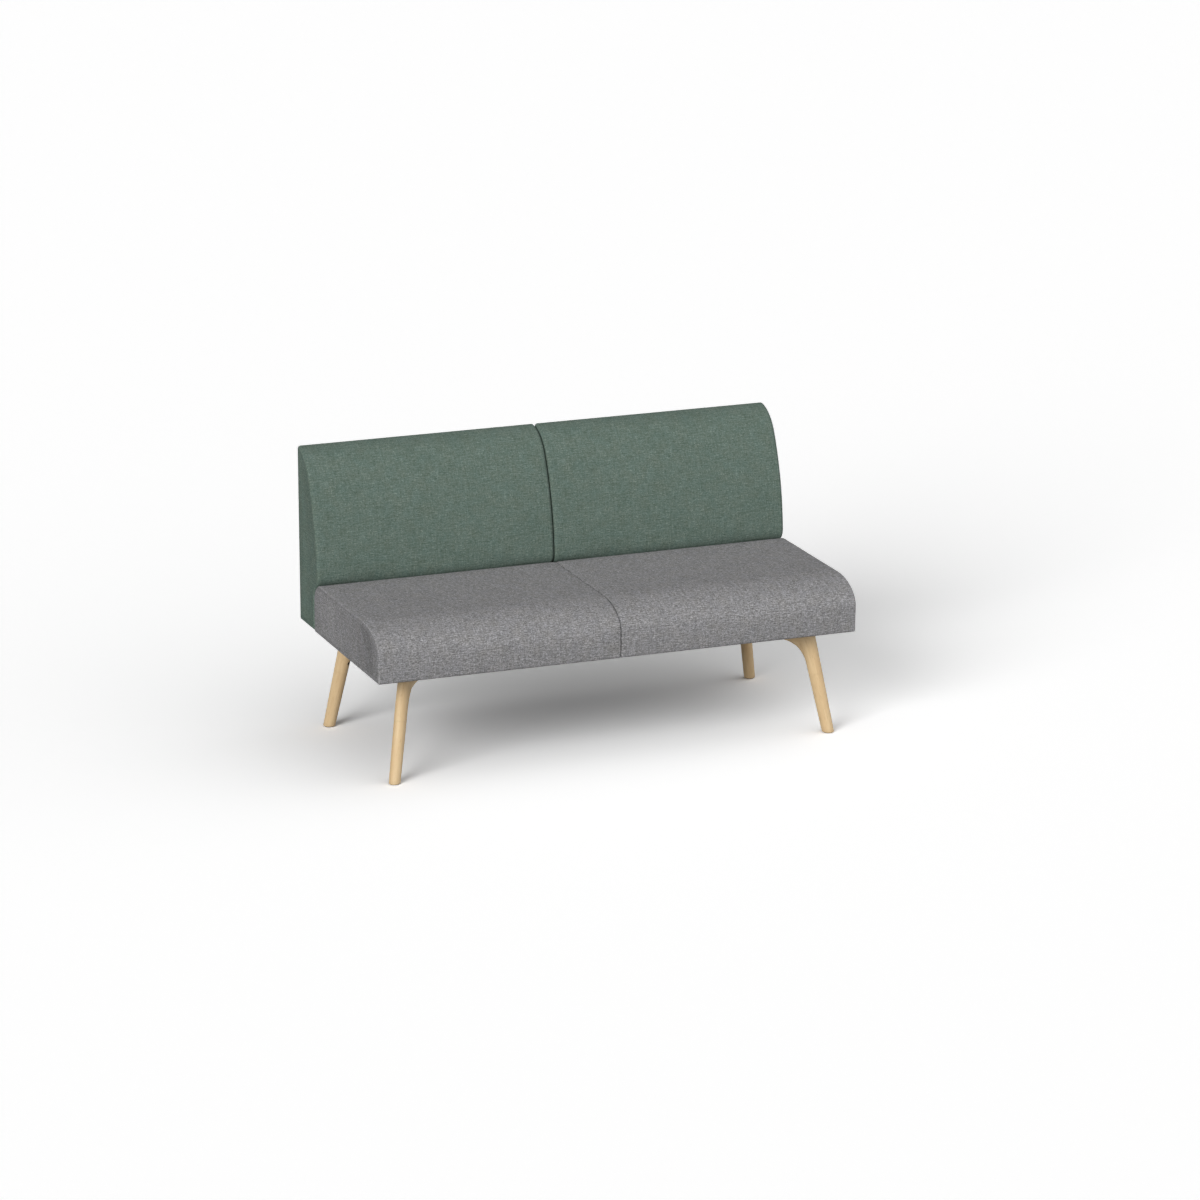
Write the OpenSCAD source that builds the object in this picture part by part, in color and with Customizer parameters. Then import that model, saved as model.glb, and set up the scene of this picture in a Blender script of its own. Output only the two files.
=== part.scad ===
// Two-seat sofa without arms: one long seat pad with a rounded nose, two back
// cushions that stand behind it, and four splayed legs with swept arms.
// Millimetres. The origin is on the floor under the middle of the sofa, +X runs
// to the right as seen from the front, and the seat faces -Y.
// Left and right are as seen from the front.

/* [Overall] */
// Width of the seat from end to end
sofa_w = 1400; // [1200:10:1600]
// Clear height under the seat
under_h = 301; // [285:1:340]
// Space between the two backs
back_gap = 4; // [2:0.5:8]
// How far each end of the seat stands proud of the back
end_step = 0.5; // [0:0.5:4]
// Space between two upholstered pieces that lie together
soft_gap = 0.5; // [0.3:0.1:1]
// Space round a piece that is fitted inside another
fit = 0.3; // [0.2:0.1:0.5]

/* [Seat pad] */
// Depth of the seat, front face to rear face
seat_d = 553.5; // [500:0.5:620]
// Thickness of the seat at its ends
seat_t = 144; // [135:1:165]
// How far the rounded nose runs back from the front face
nose_d = 125; // [100:1:150]
// How far the rounded nose falls from the top
nose_h = 68; // [55:1:74]
// Radius of the top rear edge
seat_rear_r = 50; // [42:1:58]
// Radius of the two edges along the underside
seat_base_r = 5; // [3:0.5:8]
// Radius of the edges round the two ends
seat_end_r = 3; // [2:0.5:8]
// How far the foot of the front face is set back
front_lean = 2.5; // [0:0.5:5]
// How far the middle of each half of the seat swells above its edges
seat_crown = 3; // [1:0.5:5]
// Depth of the sewn seam that halves the seat
seam_dip = 2.2; // [1:0.1:4]
// Width of the channel that the seam draws in
seam_w = 14; // [8:1:24]

/* [Back cushions] */
// Height of a back, underside to top
back_h = 501.5; // [470:0.5:560]
// How far a back's underside lies above the seat's underside
back_lift = 2.5; // [1:0.5:5]
// Thickness of a back where it stands behind the seat
back_foot_d = 127; // [115:1:145]
// Thickness of a back at its fullest
back_belly_d = 169.5; // [155:0.5:185]
// How far the point where the front stands upright lies below the seat's top
belly_drop = 5; // [0:1:15]
// Height above the seat at which the front starts to roll under
roll_h = 21; // [15:1:30]
// Radius of the long curve of the front
front_r = 672; // [600:1:800]
// Radius of the curve that turns the front over to the top
top_r = 118; // [100:1:130]
// Radius with which the front rolls under onto the seat
roll_r = 38; // [32:1:44]
// Radius of the top rear edge
back_top_r = 9; // [6:0.5:12]
// Radius of the edges along the underside
back_base_r = 6; // [3:0.5:8]
// Radius of the edges round a back's two ends
back_end_r = 3; // [2:0.5:8]
// How far the middle of a back's front swells out
back_crown = 4; // [1:0.5:6]

/* [Upholstery] */
// Thickness of a cover: the fabric with the wadding bonded to it
cover_t = 10; // [9.5:0.5:14]
// Thickness of the cloth that closes an underside
cloth_t = 1.5; // [1:0.1:2]
// Width of a webbing strap
strap_w = 60; // [40:5:80]
// Thickness of a webbing strap
strap_t = 2; // [1.5:0.1:3]
// Distance from one webbing strap to the next
strap_pitch = 112; // [90:1:130]

/* [Seat frame] */
// Thickness of the rails
rail_t = 25; // [20:1:30]
// Height of the rails
rail_h = 65; // [58:1:72]
// Thickness of the middle rail
mid_rail_t = 22; // [18:1:30]
// Height of the middle rail, below the sagging straps
mid_rail_h = 42; // [30:1:50]
// Length of a corner block's two short sides
corner_block = 35; // [25:1:40]
// Thickness of the planks that the legs are bolted to
bearer_t = 22; // [18:1:25]
// Wood left beside the bolts in those planks
bearer_edge = 28; // [20:1:36]

/* [Back frame] */
// Thickness of a back's upright board
board_t = 15; // [12:1:18]
// How far the upright board stops below the top
board_drop = 25; // [20:1:60]
// Thickness of the board in a back's foot, against the seat
foot_board_t = 18; // [15:1:22]
// How far the foot board stops below the round of the seat
foot_board_drop = 5; // [2:1:12]
// Thickness of the spacers between the two boards
spacer_t = 20; // [15:1:25]

/* [Legs] */
// Distance from the end of the seat to the middle of a foot
foot_end_inset = 57; // [45:0.5:75]
// Distance from the front face to the middle of a front foot
front_foot_inset = 50.5; // [42:0.5:70]
// Distance from the rear face to the middle of a rear foot
rear_foot_inset = 67; // [55:0.5:80]
// Lean of a leg from upright, towards the middle of the sofa
leg_tilt = 13.4; // [10:0.1:15]
// Direction of the arms, from the sofa's width
arm_turn = 45; // [42:0.5:48]
// Depth of a leg at the floor, along its arm
foot_dia = 34; // [32:0.5:36]
// Width of a leg at the floor, across its arm
foot_w = 32; // [31:0.5:36]
// Depth of a leg at its knee, along its arm
knee_dia = 40.5; // [38:0.5:44]
// Width of a leg at its knee, across its arm
knee_w = 34; // [32:0.5:44]
// Height of the joint between a leg and its arm
joint_h = 167; // [155:1:172]
// Radius of the inside of the knee
knee_r = 70; // [60:1:76]
// Depth of an arm under the seat
arm_h = 43.5; // [40:0.5:48]
// Width of an arm
arm_w = 36; // [34:0.5:44]
// Reach of an arm from the middle of the foot
arm_reach = 244; // [236:1:260]
// Radius of an arm's rounded end
arm_end_r = 12; // [6:1:15]
// How squarely an arm is rounded: 2 is round
arm_square = 3; // [2.4:0.1:4]
// Diameter of the dowel in the joint
tenon_dia = 18; // [14:0.5:20]
// Length of the dowel on each side of the joint
tenon_reach = 42; // [38:1:46]

/* [Feet] */
// Diameter of a glide
glide_dia = 26; // [20:0.5:28]
// How far a glide lifts the wood off the floor
glide_lift = 2; // [1.5:0.5:4]
// How deep a glide's disc is sunk in the foot
glide_sink = 3; // [2:0.5:4]
// Diameter of a glide's stem
stem_dia = 8; // [6:0.5:10]
// Length of a glide's stem
stem_l = 16; // [12:1:22]

/* [Fasteners] */
// Diameter of the bolts
bolt_dia = 8; // [7:0.5:8.5]
// Diameter of a bolt's head
head_dia = 13; // [12:0.5:14]
// Height of a bolt's head
head_h = 8; // [6:0.5:9]
// Diameter of a washer
washer_dia = 16; // [15.5:0.5:18]
// Thickness of a washer
washer_t = 1.6; // [1:0.1:2]
// Diameter of a hole that a bolt passes through
bolt_hole = 9; // [8.8:0.1:10]
// Diameter of a tee nut's flange
tee_flange_dia = 20; // [18:0.5:22]
// Thickness of a tee nut's flange
tee_flange_t = 1.5; // [1:0.1:2]
// Diameter of a tee nut's barrel
tee_barrel_dia = 10.4; // [10:0.1:11.5]
// Length of a tee nut's barrel
tee_barrel_l = 11; // [9:0.5:12]
// Space between a bolt and the nut it turns in
thread_gap = 0.2; // [0.1:0.05:0.3]
// Distance from the middle of the foot to a leg's nearer bolt
leg_bolt_at = 155; // [150:1:160]
// Distance between a leg's two bolts
leg_bolt_pitch = 60; // [50:1:64]
// How deep the bolt heads are sunk in an arm
head_sink = 2; // [1:0.5:4]
// Distance from the middle of the sofa to a back's inner bolts
back_bolt_at = 110; // [60:1:200]
// Height of a back's lower bolts above the rail's underside
back_bolt_low = 16; // [13:0.5:20]
// Height from a back's lower bolts to its upper ones
back_bolt_pitch = 33; // [25:0.5:36]
// Diameter of the recess in the inside of a leg
recess_dia = 14; // [12.6:0.2:15]
// Depth of that recess
recess_depth = 8; // [6:0.5:10]
// Height of that recess above the floor
recess_h = 192; // [188:0.5:196]
// Diameter of the cross screw's head
cross_head_dia = 12.4; // [11:0.2:12.4]
// Height of the cross screw's head
cross_head_h = 5; // [3:0.5:5.5]
// Diameter of the cross screw
cross_dia = 6; // [5:0.5:7]
// Length of the cross screw below its head
cross_l = 24; // [20:1:26]
// Width across the flats of a socket in a screw's head
socket_af = 6; // [4:0.5:6.5]
// Depth of a socket
socket_depth = 3; // [2:0.5:4]

/* [Hidden] */
$fn = 48;
// A cut runs this far past the face that it opens
past = 1;
// Smallest radius left on an edge that is set inwards
least_r = 0.6;
// Numbers of steps in the curves, and of sides in a leg's rings
base_steps = 3;
rear_steps = 6;
top_steps = 8;
nose_steps = 14;
front_steps = 12;
roll_steps = 5;
edge_steps = 4;
end_steps = 3;
half_steps = 6;
seam_steps = 3;
knee_steps = 5;
ring_sides = 32;

half_w = sofa_w / 2;
sofa_d = seat_d + soft_gap + back_foot_d;
seat_top = under_h + seat_t;
seat_front = -sofa_d / 2;
seat_rear = seat_front + seat_d;
back_front = seat_rear + soft_gap;
back_rear = sofa_d / 2;
back_base = under_h + back_lift;
back_top = back_base + back_h;
back_in = back_gap / 2;
back_out = half_w - end_step;
back_mid = (back_in + back_out) / 2;

// The timber frame inside the seat's cover
frame_low = under_h + cloth_t;
frame_top = frame_low + rail_h;
frame_front = seat_front + front_lean + cover_t + fit;
frame_rear = seat_rear - cover_t - fit;
frame_end = half_w - cover_t - fit;
rail_inside = frame_end - rail_t;
bearer_top = frame_low + bearer_t;
foam_low = frame_top + strap_t;

// The timber inside a back's cover
board_low = back_base + cloth_t;
board_high = back_top - board_drop;
board_back = back_rear - cover_t - fit;
board_face = board_back - board_t;
foot_face = back_front + cover_t + fit;
foot_back = foot_face + foot_board_t;
foot_high = seat_top - seat_rear_r - foot_board_drop;
board_in = back_in + cover_t + fit;
board_out = back_out - cover_t - fit;

// Curves of a back's front, as centres in the Y-Z plane
front_c = [back_rear - back_belly_d + front_r, seat_top - belly_drop];
top_turn = asin((back_top - front_c[1] - top_r) / (front_r - top_r));
top_c = front_c + (front_r - top_r) * [-cos(top_turn), sin(top_turn)];
roll_turn = asin((belly_drop + roll_h) / front_r);
roll_c = front_c + (front_r - roll_r) * [-cos(roll_turn), sin(roll_turn)];
seat_rear_c = [seat_rear - seat_rear_r, seat_top - seat_rear_r];

// A leg stands in its own plane: X runs inwards along the arm, Z up
foot_x = half_w - foot_end_inset;
front_foot_y = seat_front + front_foot_inset;
rear_foot_y = back_rear - rear_foot_inset;
arm_low = under_h - arm_h;
knee_c_h = arm_low - knee_r;
knee_l = (arm_low - knee_r) / cos(leg_tilt);
taper = (knee_dia - foot_dia) / knee_l;
taper_turn = atan(taper / 2);
joint_l = joint_h / cos(leg_tilt);
leg_bolts_at = [leg_bolt_at, leg_bolt_at + leg_bolt_pitch];
bearer_mid = foot_x - cos(arm_turn) * (leg_bolt_at + leg_bolt_pitch / 2);
bearer_half = cos(arm_turn) * leg_bolt_pitch / 2 + bearer_edge;
head_seat = arm_low + head_sink + head_h;
washer_top = head_seat + washer_t;
foot_corners = [[-1, -1], [1, -1], [-1, 1], [1, 1]];

// Bolts that hold the backs to the seat's rear rail
back_bolt_xs = [back_bolt_at, (bearer_mid + bearer_half + rail_inside) / 2];
back_bolt_zs = [frame_low + back_bolt_low, frame_low + back_bolt_low + back_bolt_pitch];
rear_rail_face = frame_rear - rail_t;

// Points on an arc round c, from angle a0 to a1
function arc(c, r, a0, a1, n) =
    [for (i = [0:n]) let (a = a0 + (a1 - a0) * i / n) c + r * [cos(a), sin(a)]];

// Angle of the direction from p to q
function heading(p, q) = atan2(q[1] - p[1], q[0] - p[0]);

function rest(list) = [for (i = [1:len(list) - 1]) list[i]];

function cross2(p, q) = p[0] * q[1] - p[1] * q[0];

// A power that keeps the sign, for rounded squares
function bow(v, square) = sign(v) * pow(abs(v), 2 / square);

// Closed skin through rings of equal numbers of points, each ring turning
// anticlockwise about the way the rings go
module loft(rings) {
    n = len(rings[0]);
    last = len(rings) - 1;
    sides = [for (i = [0:last - 1], j = [0:n - 1])
        let (a = i * n, k = (j + 1) % n)
        each [[a + j, a + n + j, a + n + k], [a + j, a + n + k, a + k]]];
    ends = [[for (j = [0:n - 1]) j], [for (j = [n - 1:-1:0]) last * n + j]];
    polyhedron([for (r = rings) each r], concat(sides, ends));
}

// Prism along X over an outline in the Y-Z plane
module prism(outline, x0, x1) {
    translate([x0, 0, 0]) rotate([90, 0, 90]) linear_extrude(x1 - x0) polygon(outline);
}

module block(low, high) {
    translate(low) cube(high - low);
}

// Seat profile from the rear face over the top and the nose to the front face.
// inset shrinks it all round, dip lowers the top and nose only
function seat_over(inset, dip = 0, swell = 0) =
    let (nose_y = seat_front + nose_d)
    concat(
        arc(seat_rear_c, seat_rear_r - inset, 0, 90, rear_steps),
        [for (i = [1:top_steps - 1]) let (s = i / top_steps)
            [seat_rear_c[0] + (nose_y - seat_rear_c[0]) * s,
             seat_top - inset - dip + swell * 4 * s * (1 - s)]],
        [for (i = [0:nose_steps]) let (a = 90 + 90 * i / nose_steps)
            [nose_y + (nose_d - inset - dip) * cos(a),
             seat_top - nose_h + (nose_h - inset - dip) * sin(a)]]);

// Whole seat profile, with its rounded lower edges
function seat_profile(inset, dip, swell) =
    let (r = max(seat_base_r - inset, least_r), low = under_h + inset + r)
    concat(
        arc([seat_front + front_lean + inset + r, low], r, 180, 270, base_steps),
        arc([seat_rear - inset - r, low], r, 270, 360, base_steps),
        seat_over(inset, dip, swell));

// Stations of the right half of the seat: place, inset, dip, share of the crown
seat_stations = concat(
    [for (i = [0:seam_steps - 1]) let (s = i / seam_steps)
        [seam_w / 2 * s, 0, seam_dip * (1 - s) * (1 - s), 0]],
    [for (i = [0:half_steps])
        let (x = seam_w / 2 + (half_w - seat_end_r - seam_w / 2) * i / (half_steps + 1))
        [x, 0, 0, sin(180 * x / half_w)]],
    [for (i = [0:end_steps]) let (a = 90 - 90 * i / end_steps)
        [half_w - seat_end_r * (1 - cos(a)), seat_end_r * (1 - sin(a)), 0, 0]]);

function seat_ring(side, s) =
    [for (p = seat_profile(s[1], s[2], seat_crown * s[3])) [side * s[0], p[0], p[1]]];

module seat_cover() {
    last = len(seat_stations) - 1;
    rings = concat(
        [for (i = [last:-1:1]) seat_ring(-1, seat_stations[i])],
        [for (i = [0:last]) seat_ring(1, seat_stations[i])]);
    inside = frame_end + fit;
    hollow = concat(
        seat_over(cover_t),
        [[seat_front + front_lean + cover_t, under_h - past],
         [seat_rear - cover_t, under_h - past]]);
    color("#87878b") difference() {
        loft(rings);
        prism(hollow, -inside, inside);
        at_back_bolts() bolt_way(frame_rear, back_front, bolt_hole);
    }
}

module seat_foam() {
    inset = cover_t + fit;
    outline = concat(
        seat_over(inset),
        [[frame_front, foam_low], [frame_rear, foam_low]]);
    color("#e8e2c8") prism(outline, -frame_end, frame_end);
}

module seat_webbing() {
    span = 2 * rail_inside - strap_w;
    n = floor(span / strap_pitch);
    color("#2d2d30") for (i = [0:n]) let (x = (i - n / 2) * strap_pitch)
        block([x - strap_w / 2, frame_front, frame_top], [x + strap_w / 2, frame_rear, foam_low]);
}

module seat_base_cloth() {
    color("#1c1c1e") difference() {
        block([-frame_end, frame_front, under_h], [frame_end, frame_rear, frame_low]);
        at_leg_bolts() cylinder(h = frame_low + past, d = bolt_hole);
    }
}

// The part of the seat's timber that takes a bearer across it
module bearer_space(side, room) {
    x = side * bearer_mid;
    block([x - bearer_half - room, frame_front - past, frame_low - past],
          [x + bearer_half + room, frame_rear + past, bearer_top + room]);
}

module front_rail() {
    color("#c9a574") difference() {
        block([-frame_end, frame_front, frame_low], [frame_end, frame_front + rail_t, frame_top]);
        for (side = [-1, 1]) bearer_space(side, fit);
    }
}

module rear_rail() {
    color("#c9a574") difference() {
        block([-frame_end, rear_rail_face, frame_low], [frame_end, frame_rear, frame_top]);
        for (side = [-1, 1]) bearer_space(side, fit);
        at_back_bolts() bolt_way(rear_rail_face - past, frame_rear + past, bolt_hole);
    }
}

module end_rail(side) {
    x = side < 0 ? -frame_end : rail_inside;
    color("#d3b184")
        block([x, frame_front + rail_t, frame_low], [x + rail_t, rear_rail_face, frame_top]);
}

module middle_rail() {
    color("#d3b184") block([-mid_rail_t / 2, frame_front + rail_t, frame_low],
                           [mid_rail_t / 2, rear_rail_face, frame_low + mid_rail_h]);
}

// Glue blocks in the four corners of the frame
module corner_blocks() {
    inner_front = frame_front + rail_t;
    color("#d3b184") for (side = [-1, 1], end = [[inner_front, 1], [rear_rail_face, -1]])
        translate([0, 0, frame_low]) linear_extrude(rail_h)
            polygon([[side * rail_inside, end[0]],
                     [side * (rail_inside - corner_block), end[0]],
                     [side * rail_inside, end[0] + end[1] * corner_block]]);
}

module leg_bearer(side) {
    x = side * bearer_mid;
    pocket = tee_flange_t + fit;
    color("#be9a68") difference() {
        block([x - bearer_half, frame_front, frame_low],
              [x + bearer_half, frame_rear, bearer_top]);
        at_leg_bolts() {
            cylinder(h = bearer_top + past, d = bolt_hole);
            translate([0, 0, bearer_top - pocket])
                cylinder(h = pocket + past, d = tee_flange_dia + 2 * fit);
            translate([0, 0, bearer_top - pocket - tee_barrel_l - fit])
                cylinder(h = tee_barrel_l + pocket, d = tee_barrel_dia + 2 * fit);
        }
    }
}

// Profile of a back from its rear face over the top, down the front, under the
// roll and round the seat's rear edge. inset shrinks it, swell fills the front
function back_over(inset, swell = 0) =
    let (edge = max(back_top_r - inset, least_r),
         edge_y = back_rear - inset - edge,
         edge_rise = sqrt(pow(top_r - inset - edge, 2) - pow(edge_y - top_c[0], 2)),
         edge_c = [edge_y, top_c[1] + edge_rise],
         edge_a = heading(top_c, edge_c),
         roll = roll_r - inset,
         seat = seat_rear_r + soft_gap + inset,
         apart = norm(seat_rear_c - roll_c),
         along = (roll * roll - seat * seat + apart * apart) / (2 * apart),
         aside = sqrt(max(roll * roll - along * along, 0)),
         to_seat = (seat_rear_c - roll_c) / apart,
         meet = roll_c + along * to_seat + aside * [to_seat[1], -to_seat[0]],
         front = concat(
             rest(arc(top_c, top_r - inset, edge_a, 180 - top_turn, top_steps)),
             rest(arc(front_c, front_r - inset, 180 - top_turn, 180 - roll_turn, front_steps))),
         n = len(front))
    concat(
        arc(edge_c, edge, 0, edge_a, edge_steps),
        [for (i = [0:n - 1]) front[i] - [swell * sin(180 * (i + 1) / n), 0]],
        rest(arc(roll_c, roll, 180 - roll_turn, 360 + heading(roll_c, meet), roll_steps)),
        rest(arc(seat_rear_c, seat, heading(seat_rear_c, meet), 0, rear_steps)));

// Whole profile of a back, with its rounded lower edges
function back_profile(inset, swell) =
    let (r = max(back_base_r - inset, least_r), low = back_base + inset + r)
    concat(
        arc([back_front + inset + r, low], r, 180, 270, base_steps),
        arc([back_rear - inset - r, low], r, 270, 360, base_steps),
        back_over(inset, swell));

// Stations of a back from its middle outwards: place, inset, share of the crown
back_half_w = (back_out - back_in) / 2;
back_stations = concat(
    [for (i = [0:half_steps - 1]) let (s = i / half_steps)
        [(back_half_w - back_end_r) * s, 0, 1 - s * s]],
    [for (i = [0:end_steps]) let (a = 90 - 90 * i / end_steps)
        [back_half_w - back_end_r * (1 - cos(a)), back_end_r * (1 - sin(a)), 0]]);

function back_ring(side, place, s) =
    [for (p = back_profile(s[1], back_crown * s[2])) [side * back_mid + place * s[0], p[0], p[1]]];

module back_cover(side) {
    last = len(back_stations) - 1;
    rings = concat(
        [for (i = [last:-1:1]) back_ring(side, -1, back_stations[i])],
        [for (i = [0:last]) back_ring(side, 1, back_stations[i])]);
    hollow = concat(
        back_over(cover_t),
        [[back_front + cover_t, back_base - past], [back_rear - cover_t, back_base - past]]);
    inside = back_half_w - cover_t;
    color("#4f6b5e") difference() {
        loft(rings);
        prism(hollow, side * back_mid - inside, side * back_mid + inside);
        at_back_bolts() bolt_way(seat_rear, foot_face, bolt_hole);
    }
}

module back_foam(side) {
    inset = cover_t + fit;
    outline = concat(
        back_over(inset),
        [[foot_face, foot_high + fit], [board_back, foot_high + fit]]);
    inside = back_half_w - inset;
    color("#efe9d2") difference() {
        prism(outline, side * back_mid - inside, side * back_mid + inside);
        block([-half_w, board_face - fit, board_low], [half_w, back_rear, board_high + fit]);
    }
}

module back_panel(side, y0, y1, z1) {
    x = side < 0 ? -board_out : board_in;
    block([x, y0, board_low], [x + board_out - board_in, y1, z1]);
}

module back_board(side) {
    color("#d3b184") back_panel(side, board_face, board_back, board_high);
}

module back_foot_board(side) {
    color("#c9a574") difference() {
        back_panel(side, foot_face, foot_back, foot_high);
        at_back_bolts() {
            bolt_way(foot_face - past, foot_back + past, bolt_hole);
            bolt_way(foot_back - tee_barrel_l - fit, foot_back + past, tee_barrel_dia + 2 * fit);
        }
    }
}

module back_spacers(side) {
    span = board_out - board_in - spacer_t;
    color("#be9a68") for (i = [0:2]) let (x = side * (board_in + spacer_t / 2 + span * i / 2))
        block([x - spacer_t / 2, foot_back, board_low], [x + spacer_t / 2, board_face, foot_high]);
}

module back_base_cloth(side) {
    x = side < 0 ? -board_out : board_in;
    color("#1c1c1e")
        block([x, foot_face, back_base], [x + board_out - board_in, board_back, board_low]);
}

// Places of the bolts between the seat and the backs
module at_back_bolts() {
    for (side = [-1, 1], x = back_bolt_xs, z = back_bolt_zs) translate([side * x, 0, z]) children();
}

// Round bar or hole along Y, from y0 to y1
module bolt_way(y0, y1, dia) {
    translate([0, y0, 0]) rotate([-90, 0, 0]) cylinder(h = y1 - y0, d = dia);
}

module socket_cut(depth) {
    cylinder(h = depth, d = socket_af / cos(30), $fn = 6);
}

module back_bolts() {
    head_face = rear_rail_face - washer_t;
    color("#b9bcc0") at_back_bolts() {
        difference() {
            bolt_way(head_face - head_h, head_face, head_dia);
            translate([0, head_face - head_h - past, 0]) rotate([-90, 0, 0])
                socket_cut(socket_depth + past);
        }
        bolt_way(head_face - past, foot_back + tee_flange_t + past, bolt_dia);
    }
}

module back_washers() {
    color("#b9bcc0") at_back_bolts() difference() {
        bolt_way(rear_rail_face - washer_t, rear_rail_face, washer_dia);
        bolt_way(rear_rail_face - washer_t - past, rear_rail_face + past, bolt_dia + 2 * fit);
    }
}

module back_tee_nuts() {
    color("#a9acb0") at_back_bolts() difference() {
        union() {
            bolt_way(foot_back, foot_back + tee_flange_t, tee_flange_dia);
            bolt_way(foot_back - tee_barrel_l, foot_back + tee_flange_t, tee_barrel_dia);
        }
        bolt_way(foot_back - tee_barrel_l - past, foot_back + tee_flange_t + past,
                 bolt_dia + 2 * thread_gap);
    }
}

// Puts a leg's own plane at one corner: side -1 left, 1 right; end -1 front, 1 rear
module at_foot(side, end) {
    translate([side * foot_x, end < 0 ? front_foot_y : rear_foot_y, 0])
        rotate([0, 0, atan2(-end * sin(arm_turn), -side * cos(arm_turn))]) children();
}

module at_feet() {
    for (c = foot_corners) at_foot(c[0], c[1]) children();
}

module at_leg_bolts() {
    at_feet() for (s = leg_bolts_at) translate([s, 0, 0]) children();
}

function leg_dia(along) = foot_dia + taper * along;
function leg_w(along) = foot_w + (knee_w - foot_w) * along / knee_l;

// Ring between an inner and an outer edge in the leg's plane. square 2 is round
function oval(inner, outer, width, square) =
    let (mid = (inner + outer) / 2, half = (outer - inner) / 2)
    [for (i = [0:ring_sides - 1])
        let (a = 360 * i / ring_sides, u = bow(cos(a), square), v = bow(sin(a), square))
        [mid[0] + half[0] * u, -width / 2 * v, mid[1] + half[1] * u]];

function leg_ring(along) =
    let (c = along * [sin(leg_tilt), cos(leg_tilt)],
         r = leg_dia(along) / 2 * [cos(leg_tilt), -sin(leg_tilt)])
    oval(c + r, c - r, leg_w(along), 2);

// Slim, slightly oval leg, cut level above the floor
module leg(side, end) {
    color("#dcbf8e") at_foot(side, end) difference() {
        loft([leg_ring(-foot_dia), leg_ring(joint_l)]);
        translate([-foot_dia * 2, -foot_dia * 2, glide_lift - foot_dia * 4]) cube(foot_dia * 4);
        glide_hole();
        tenon(fit, fit);
    }
}

// Edges of the leg in its plane, as a point at the foot and a direction
inner_from = foot_dia / 2 * [cos(leg_tilt), -sin(leg_tilt)];
outer_from = -inner_from;
inner_way = [sin(leg_tilt + taper_turn), cos(leg_tilt + taper_turn)];
outer_way = [sin(leg_tilt - taper_turn), cos(leg_tilt - taper_turn)];
// Middle of the round inside the knee
knee_low = knee_c_h + knee_r * sin(leg_tilt + taper_turn);
knee_in = inner_from + inner_way * (knee_low - inner_from[1]) / inner_way[1];
knee_c = knee_in + knee_r * [cos(leg_tilt + taper_turn), -sin(leg_tilt + taper_turn)];
// The arm is shaped this far above the seat's underside, then cut flat
trim = 4;
over_h = under_h + trim;

// How far from the knee's middle the outside lies, in direction a above level
function knee_reach(a) =
    let (ray = [-cos(a), sin(a)],
         to_leg = cross2(outer_from - knee_c, outer_way) / cross2(ray, outer_way),
         to_top = (over_h - knee_c[1]) / sin(a))
    min(to_leg, to_top);

// Direction from the knee's middle to the arm's outer corner
corner_s = outer_from[0] + outer_way[0] / outer_way[1] * (over_h - outer_from[1]);
corner_a = atan2(over_h - knee_c[1], knee_c[0] - corner_s);
knee_a = leg_tilt + taper_turn;

// Fan of directions round the knee, through the outer corner
knee_fan = concat(
    [for (i = [0:knee_steps]) knee_a + (corner_a - knee_a) * i / knee_steps],
    [for (i = [1:knee_steps]) corner_a + (90 - corner_a) * i / knee_steps]);

arm_rings = concat(
    [leg_ring(joint_l)],
    [for (a = knee_fan)
        let (ray = [-cos(a), sin(a)], s = max(0, (a - corner_a) / (90 - corner_a)))
        oval(knee_c + knee_r * ray, knee_c + knee_reach(a) * ray,
             knee_w + (arm_w - knee_w) * s, 2 + (arm_square - 2) * s)],
    [for (i = [0:edge_steps])
        let (a = 90 * i / edge_steps, in = arm_end_r * (1 - cos(a)),
             s = arm_reach - arm_end_r * (1 - sin(a)))
        oval([s, arm_low + in], [s, over_h - in], arm_w - 2 * in, arm_square)]);

module arm(side, end) {
    wide = 4 * arm_reach;
    color("#d6b884") at_foot(side, end) difference() {
        loft(arm_rings);
        translate([-wide / 2, -wide / 2, under_h]) cube(wide);
        tenon(fit, fit);
        cross_axis() {
            translate([0, 0, -recess_depth]) cylinder(h = knee_dia, d = recess_dia);
            translate([0, 0, -recess_depth - cross_l - fit])
                cylinder(h = cross_l + recess_depth, d = cross_dia + 2 * fit);
        }
        for (s = leg_bolts_at) translate([s, 0, 0]) {
            cylinder(h = under_h + past, d = bolt_hole);
            cylinder(h = washer_top, d = washer_dia + 2 * fit);
        }
    }
}

// Dowel across the joint of a leg and its arm, or the room for it
module tenon(room, end_room) {
    rotate([0, leg_tilt, 0]) translate([0, 0, joint_l - tenon_reach - end_room])
        cylinder(h = 2 * (tenon_reach + end_room), d = tenon_dia + 2 * room);
}

// Axis of the cross screw: it enters square to the leg, and Z = 0 is at the wood's face
cross_along = (recess_h + knee_dia / 2 * sin(leg_tilt)) / cos(leg_tilt);
module cross_axis() {
    rotate([0, leg_tilt, 0]) translate([leg_dia(cross_along) / 2, 0, cross_along])
        rotate([0, 90, 0]) children();
}

module leg_tenons() {
    color("#e2cc9f") at_feet() difference() {
        tenon(0, 0);
        cross_axis() translate([0, 0, -knee_dia]) cylinder(h = knee_dia, d = cross_dia + 2 * fit);
    }
}

module leg_cross_screws() {
    color("#151515") at_feet() cross_axis() {
        translate([0, 0, -recess_depth]) difference() {
            cylinder(h = cross_head_h, d = cross_head_dia);
            translate([0, 0, cross_head_h - socket_depth]) socket_cut(socket_depth + past);
        }
        translate([0, 0, -recess_depth - cross_l]) cylinder(h = cross_l + past, d = cross_dia);
    }
}

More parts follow.
